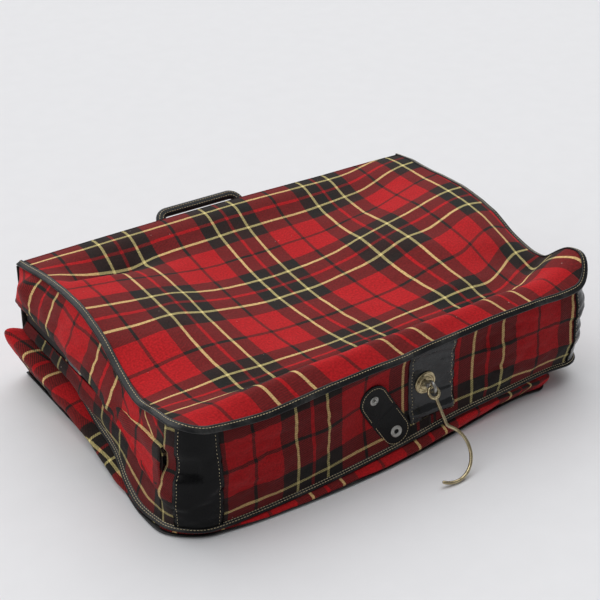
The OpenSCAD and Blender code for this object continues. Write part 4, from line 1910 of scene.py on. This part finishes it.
@dataclass
class HangerSet(Assembly):
    """Grommet, inside bracket and bar, wire eye and the long wire hook."""

    eye: tuple[float, float, float] = (32.0, -202.7, 82.0)
    dip: float = 48.13
    wire: float = 2.0
    ring: float = 6.5
    shank: float = 42.0
    bend: float = 8.0
    crook: float = 32.0
    bend_turn: float = 55.0
    crook_turn: float = 125.0

    def hook_line(self) -> Array:
        """Centre line of the hook from its ring to its tip, in its own plane.

        Returns:
            The line's points.
        """
        turn = math.radians(self.bend_turn)
        off = self.bend * (1 - math.cos(turn)) - self.crook * math.cos(turn)
        deep = self.shank + (self.bend + self.crook) * math.sin(turn)
        straight = [(0.0, y) for y in np.linspace(2 * self.ring - 0.4, self.shank, 14)]
        first = [(self.bend - self.bend * math.cos(a), self.shank + self.bend * math.sin(a))
                 for a in np.linspace(0, turn, 9)[1:]]
        angles = np.radians(np.linspace(-self.bend_turn, self.crook_turn, 52))
        curve = [(off + self.crook * math.cos(a), deep + self.crook * math.sin(a)) for a in angles]
        return np.array([(x, y, 0.0) for x, y in straight + first + curve[1:]])

    def in_place(self, points: Array) -> Array:
        """Points of the hook's own plane moved to where it hangs."""
        turn = np.array(Matrix.Rotation(math.radians(180 + self.dip), 3, "X"))
        return points @ turn.T + np.array(self.eye)

    def rounded_tip(self, line: Array) -> tuple[Array, Array]:
        """Adds points near the tip, where the wire is rounded off.

        Args:
            line: the hook's centre line.

        Returns:
            The new line and the wire's scale at each of its points.
        """
        walked = distance_along(line)
        depths = np.linspace(0, 1, 5)[1:-1] * self.wire
        back = (line[-1] - line[-2]) / np.linalg.norm(line[-1] - line[-2])
        extra = np.array([line[-1] - back * (self.wire - depth) for depth in depths])
        keep = walked < walked[-1] - self.wire
        taper = np.sqrt(np.clip(1 - (depths / self.wire) ** 2, 0.02, 1))
        return np.concatenate([line[keep], extra, line[-1:]]), np.r_[np.ones(keep.sum()), taper, 0.14]

    def wire_ring(self, circle: Array) -> bpy.types.Object:
        """The ring of wire by which the hook hangs in its eye.

        Args:
            circle: the wire's cross-section.

        Returns:
            The closed ring.
        """
        angles = np.linspace(0, math.tau, 40, endpoint=False)
        centre = np.array([
            (self.ring * math.sin(a), self.ring - self.ring * math.cos(a), 0.0) for a in angles
        ])
        radial = (centre - np.array([0, self.ring, 0])) / self.ring
        rings = centre[:, None] + radial[:, None] * circle[None, :, :1]
        rings = rings + np.array([0, 0, 1.0]) * circle[None, :, 1:]
        faces = grid_faces(*rings.shape[:2], ring=True, closed=True)
        return face_out(new_object("hook_ring", self.in_place(rings.reshape(-1, 3)), faces))

    def build(self) -> None:
        """Makes the hook and dresses the rest."""
        self.dress(self.finishes.brass, "grommet", "grommet_washer")
        self.dress(self.finishes.steel, "hanger_bracket", "hanger_bar", "hanger_eye")
        line, taper = self.rounded_tip(self.hook_line())
        circle = np.array([(self.wire * math.cos(a), self.wire * math.sin(a))
                           for a in np.linspace(0, math.tau, 16, endpoint=False)])
        up = self.in_place(np.array([[0, 0, 1.0]]))[0] - self.eye
        shank = sweep("hook_wire", self.in_place(line), up, circle, taper)
        hook = joined("hook_wire", [shank, self.wire_ring(circle)])
        self.keep(hook, self.finishes.brass, Slot.BRASS, Body.HOOK, ["hook"])


@dataclass
class Keeper(Assembly):
    """Keeper strap: a sewn-down half with the stud and a free half with the socket."""

    half_w: float = 19.0
    fold: tuple[float, float, float] = (-25.06, -191.8, 59.14)
    lean: float = 31.0
    hang: float = 10.0
    pitch: float = 29.0
    places: dict[str, Matrix] = field(default_factory=dict)
    stud: tuple[tuple[float, float], ...] = (
        (0, -0.3), (5.6, -0.3), (5.8, 0.1), (5.4, 0.8), (4.6, 1.05), (3.9, 0.75), (3.5, 0.3), (2.1, 0.3),
        (1.7, 0.6), (1.7, 2.2), (2.2, 2.7), (2.1, 3.1), (1.5, 3.4), (0, 3.4),
    )
    socket: tuple[tuple[float, float], ...] = (
        (2.9, -0.3), (2.9, 0.5), (3.6, 0.9), (4.2, 0.55), (5.0, 0.45), (5.8, 0.95), (6.6, 1.0), (7.2, 0.6),
        (7.4, 0.0), (7.4, -0.3),
    )
    section: tuple[tuple[float, float], ...] = (
        (0.3, -0.8), (0.97, -0.8), (1.0, -0.35), (1.0, 0.35), (0.97, 0.8), (0.93, 0.86), (0.86, 0.62),
        (0.8, 0.86), (0.3, 0.9),
    )

    def leaf(self, name: str, reach: float, tilt: float, lift: float) -> tuple[bpy.types.Object, Array]:
        """One half of the strap, rounded at its end, with the line its stitches follow.

        Args:
            name: the piece's name.
            reach: how far it runs from the fold to its snap.
            tilt: how far it leans out, in degrees.
            lift: distance of its middle from the fold line.

        Returns:
            The piece and its stitch line.
        """
        sign = 1.0 if reach > 0 else -1.0
        arc = np.linspace(0, math.pi, 19)
        edge = [(self.half_w * math.cos(a), reach + sign * self.half_w * math.sin(a)) for a in arc]
        straight = [(self.half_w, -0.9 * sign), (self.half_w, 4.0 * sign)]
        outline = np.array(straight + edge + [(-x, y) for x, y in straight[::-1]])
        centre = np.array([0, reach * 0.7])
        rings = []
        for share, height in self.section:
            ring = centre + (outline - centre) * share
            rings.append(np.concatenate([ring, np.full((len(ring), 1), height + lift)], 1))
        faces = tube_faces(len(rings), len(outline))
        place = (
            Matrix.Translation(Vector(self.fold))
            @ Matrix.Rotation(math.radians(90), 4, "X")
            @ Matrix.Rotation(math.radians(self.lean), 4, "Z")
            @ Matrix.Rotation(math.radians(-tilt), 4, "X")
        )
        self.places[name] = place
        m = np.array(place)
        flat = np.concatenate(rings)
        obj = face_out(new_object(name, flat @ m[:3, :3].T + m[:3, 3], faces))
        line = centre + (outline[1:-1] - centre) * 0.86
        line = np.concatenate([line, np.full((len(line), 1), lift + 0.85)], 1)
        return obj, line @ m[:3, :3].T + m[:3, 3]

    def build(self) -> None:
        """Makes both halves of the strap and dresses the snaps."""
        for name, reach, tilt, lift, body, node in (
            ("keeper_fixed_half", self.pitch, 0.0, -1.0, Body.UPPER, "keeper_base"),
            ("keeper_free_half", -self.pitch, self.hang, -0.9, Body.FLAP, "keeper_flap"),
        ):
            obj, line = self.leaf(name, reach, tilt, lift)
            self.keep(obj, self.finishes.strap, Slot.STRAP, body, [node])
            self.stitch(name + "_stitches", [line], body, pitch=3.2, radius=0.38)
        for name, outline, half, side, body, node in (
            ("stud_ring", self.stud, "keeper_fixed_half", 1, Body.UPPER, "snap_stud"),
            ("socket_ring", self.socket, "keeper_free_half", -1, Body.FLAP, "snap_socket"),
        ):
            place = self.places[half] @ Matrix.Translation((0, side * self.pitch, 0))
            self.keep(lathe(name, outline, place), self.finishes.steel, Slot.STEEL, body, [node])


class TeethTree(GeometryTree):
    """Zip teeth: small blocks in two rows that lock between each other."""

    def __init__(self) -> None:
        """Builds the tree."""
        super().__init__("Zip teeth", [
            ("Pitch", "NodeSocketFloat", 0.0021),
            ("Tooth height", "NodeSocketFloat", 0.0024),
            ("Finish", "NodeSocketMaterial", 0.0),
        ])
        curve = self.add("GeometryNodeMeshToCurve")
        points = self.add("GeometryNodeCurveToPoints", mode="LENGTH")
        block = self.add("GeometryNodeMeshCube")
        size = self.add("ShaderNodeCombineXYZ")
        width = self.add("ShaderNodeMath", operation="MULTIPLY")
        width.inputs[1].default_value = 0.55
        size.inputs[0].default_value = 0.0024
        place = self.add("GeometryNodeInstanceOnPoints")
        self.link(self.start.outputs["Geometry"], curve.inputs["Mesh"])
        self.link(curve.outputs[0], points.inputs["Curve"])
        self.link(self.start.outputs["Pitch"], points.inputs["Length"])
        self.link(self.start.outputs["Pitch"], width.inputs[0])
        self.link(width.outputs[0], size.inputs[1])
        self.link(self.start.outputs["Tooth height"], size.inputs[2])
        self.link(size.outputs[0], block.inputs["Size"])
        self.link(points.outputs["Points"], place.inputs["Points"])
        self.link(block.outputs[0], place.inputs["Instance"])
        self.close(place.outputs[0])


@dataclass
class ZipSet(Assembly):
    """Zip along the left wall: two tapes, the teeth, the stops, the slider and its pull."""

    x: float = -279.2
    level: float = 88.0
    near: float = -160.0
    far: float = 186.0
    stations: int = 80
    tape_t: float = 0.8
    tooth_pitch: float = 2.1
    tooth_height: float = 3.4

    def build(self) -> None:
        """Makes the tapes and the teeth and dresses the metal."""
        y = np.linspace(self.near, self.far, self.stations)
        for name, low, high, node in (("zip_tape_high", 90.2, 101.8, "zip_tape_upper"),
                                      ("zip_tape_low", 74.2, 85.8, "zip_tape_lower")):
            z = np.linspace(low, high, 5)
            across = np.full((len(y), len(z)), self.x)
            grid = np.stack([across, *np.meshgrid(y, z, indexing="ij")], -1)
            obj = thicken(grid_object(name, grid, grid[..., 1:] * MM), self.tape_t, inward=False)
            self.keep(obj, self.finishes.tape, Slot.TAPE, Body.UPPER, [node])
        teeth = TeethTree()
        sizes = {"Pitch": self.tooth_pitch * MM, "Tooth height": self.tooth_height * MM}
        rows = []
        for shift, rise in ((0.0, 1.0), (1.05, -1.0)):
            line = np.stack([np.full_like(y, self.x), y + shift, np.full_like(y, self.level + rise)], 1)
            obj = wire_object("zip_teeth", [line])
            rows.append(teeth.apply(obj, {**sizes, "Finish": self.finishes.zip_metal}))
        self.keep(joined("zip_teeth", rows), self.finishes.zip_metal, Slot.ZIP, Body.UPPER, ["zip_chain"])
        self.dress(self.finishes.zip_metal, "zip_stops", "zip_slider")
        self.dress(self.finishes.pull, "zip_pull")
        self.dress(self.finishes.brass, "pull_ring")


@dataclass
class Handle(Assembly):
    """Carrying handle behind the fold, hung from two anchors."""

    centre: tuple[float, float, float] = (-16.0, 196.6, 124.0)
    half: float = 59.0
    reach: float = 42.0
    rise: float = 34.0
    corner: float = 13.0
    inset: float = 6.5

    def build(self) -> None:
        """Makes the grip and dresses its fittings."""
        r = self.corner
        arc = np.linspace(0, math.pi / 2, 12)
        high = self.reach - self.inset
        left = [(-self.half + 0.5, d) for d in np.linspace(-5, high - r, 10)[:-1]]
        turn_l = [(-self.half + 0.5 + r - r * math.cos(a), high - r + r * math.sin(a)) for a in arc]
        turn_r = [(-x, d) for x, d in turn_l[::-1]]
        right = [(-x, d) for x, d in left[::-1]]
        middle = [(x, high) for x in np.linspace(turn_l[-1][0], turn_r[0][0], 30)[1:-1]]
        line = np.array([(x, d, 0.0) for x, d in left + turn_l + middle + turn_r + right])
        tilt = math.radians(self.rise)
        place = np.array([
            [1, 0, 0],
            [0, math.cos(tilt), -math.sin(tilt)],
            [0, math.sin(tilt), math.cos(tilt)],
        ])
        path = line @ place.T + np.array(self.centre)
        up = place @ np.array([0, 0, 1.0])
        obj = sweep("handle_grip_skin", path, up, round_profile(6.2, 4.0, 8))
        self.keep(obj, self.finishes.grip, Slot.GRIP, Body.HANDLE, ["handle_grip"])
        side, _ = frames(path, up)
        lines = [path + side * s + up * 4.02 for s in (-2.4, 2.4)]
        self.stitch("handle_stitches", lines, Body.HANDLE)
        self.dress(self.finishes.grip, "handle_anchors")
        self.dress(self.finishes.brass, "handle_pins", "handle_rivets")


@dataclass(frozen=True)
class Studio:
    """Plain pale room: camera, floor and soft lights. Lengths in metres."""

    azimuth: float = -34.76
    elevation: float = 30.54
    target: tuple[float, float, float] = (0.019, 0.039, 0.080)
    distance: float = 1.732
    lens: float = 84.0
    roll: float = 0.81
    floor_size: float = 60.0
    floor_gap: float = 0.0006
    room_light: float = 0.26
    lamps: tuple[tuple[str, tuple[float, float, float], float, float], ...] = (
        ("Overhead", (0.5, 1.5, 2.8), 80.0, 2.3),
        ("Left", (-2.4, 0.3, 1.8), 60.0, 0.7),
    )

    def place_camera(self, scene: bpy.types.Scene) -> None:
        """Puts the camera in its place.

        Args:
            scene: the scene it looks at.
        """
        a, e = math.radians(self.azimuth), math.radians(self.elevation)
        back = Vector((math.sin(a) * math.cos(e), -math.cos(a) * math.cos(e), math.sin(e)))
        camera = bpy.data.objects.new("Camera", bpy.data.cameras.new("Camera"))
        camera.data.lens = self.lens
        camera.data.sensor_width = 36
        camera.data.clip_end = 50
        spin = back.to_track_quat("Z", "Y").to_matrix().to_4x4()
        roll = Matrix.Rotation(math.radians(self.roll), 4, "Z")
        camera.matrix_world = Matrix.Translation(Vector(self.target) + back * self.distance) @ spin @ roll
        scene.collection.objects.link(camera)
        scene.camera = camera

    def lay_floor(self) -> None:
        """Lays the pale paper floor, a hair below the bag."""
        bpy.ops.mesh.primitive_plane_add(size=self.floor_size, location=(0, 0, -self.floor_gap))
        floor = bpy.context.object
        floor.name = "studio_floor"
        s = Shader("Studio paper")
        fibre = s.spread(s.noise(s.point(), 30, 2), 0.0, 1.0)
        s.set(Base_Color=s.mix(fibre, rgb(226, 226, 228), rgb(230, 230, 232)), Roughness=0.95)
        floor.data.materials.append(s.material)

    def light(self, scene: bpy.types.Scene) -> None:
        """Lights the room from all round and from two soft lamps.

        Args:
            scene: the scene to light.
        """
        world = bpy.data.worlds.new("Soft room")
        world.use_nodes = True
        around = world.node_tree.nodes["Background"]
        around.inputs[0].default_value = (0.97, 0.98, 1.0, 1.0)
        around.inputs[1].default_value = self.room_light
        scene.world = world
        for name, place, angle, power in self.lamps:
            lamp = bpy.data.lights.new(name, "SUN")
            lamp.angle = math.radians(angle)
            lamp.energy = power
            obj = bpy.data.objects.new(name, lamp)
            aim = Vector(place).to_track_quat("Z", "Y").to_matrix().to_4x4()
            obj.matrix_world = Matrix.Translation(place) @ aim
            scene.collection.objects.link(obj)

    def build(self) -> None:
        """Makes the studio."""
        scene = bpy.context.scene
        self.place_camera(scene)
        self.lay_floor()
        self.light(scene)
        scene.view_settings.view_transform = "Standard"


def main() -> None:
    """Builds the bag in order and logs the number of pieces in each part."""
    logging.basicConfig(level=logging.INFO, format="%(message)s")
    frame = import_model()
    Studio().build()
    finishes, stitches = Finishes(), StitchTree()
    assemblies = [kind(frame, finishes, stitches)
                  for kind in (UpperHalf, LowerHalf, FoldWall, HangerSet, Keeper, ZipSet, Handle)]
    for assembly in assemblies:
        assembly.build()
        LOG.info("%s: %d pieces", type(assembly).__name__, len(assembly.pieces))


if __name__ == "__main__":
    main()
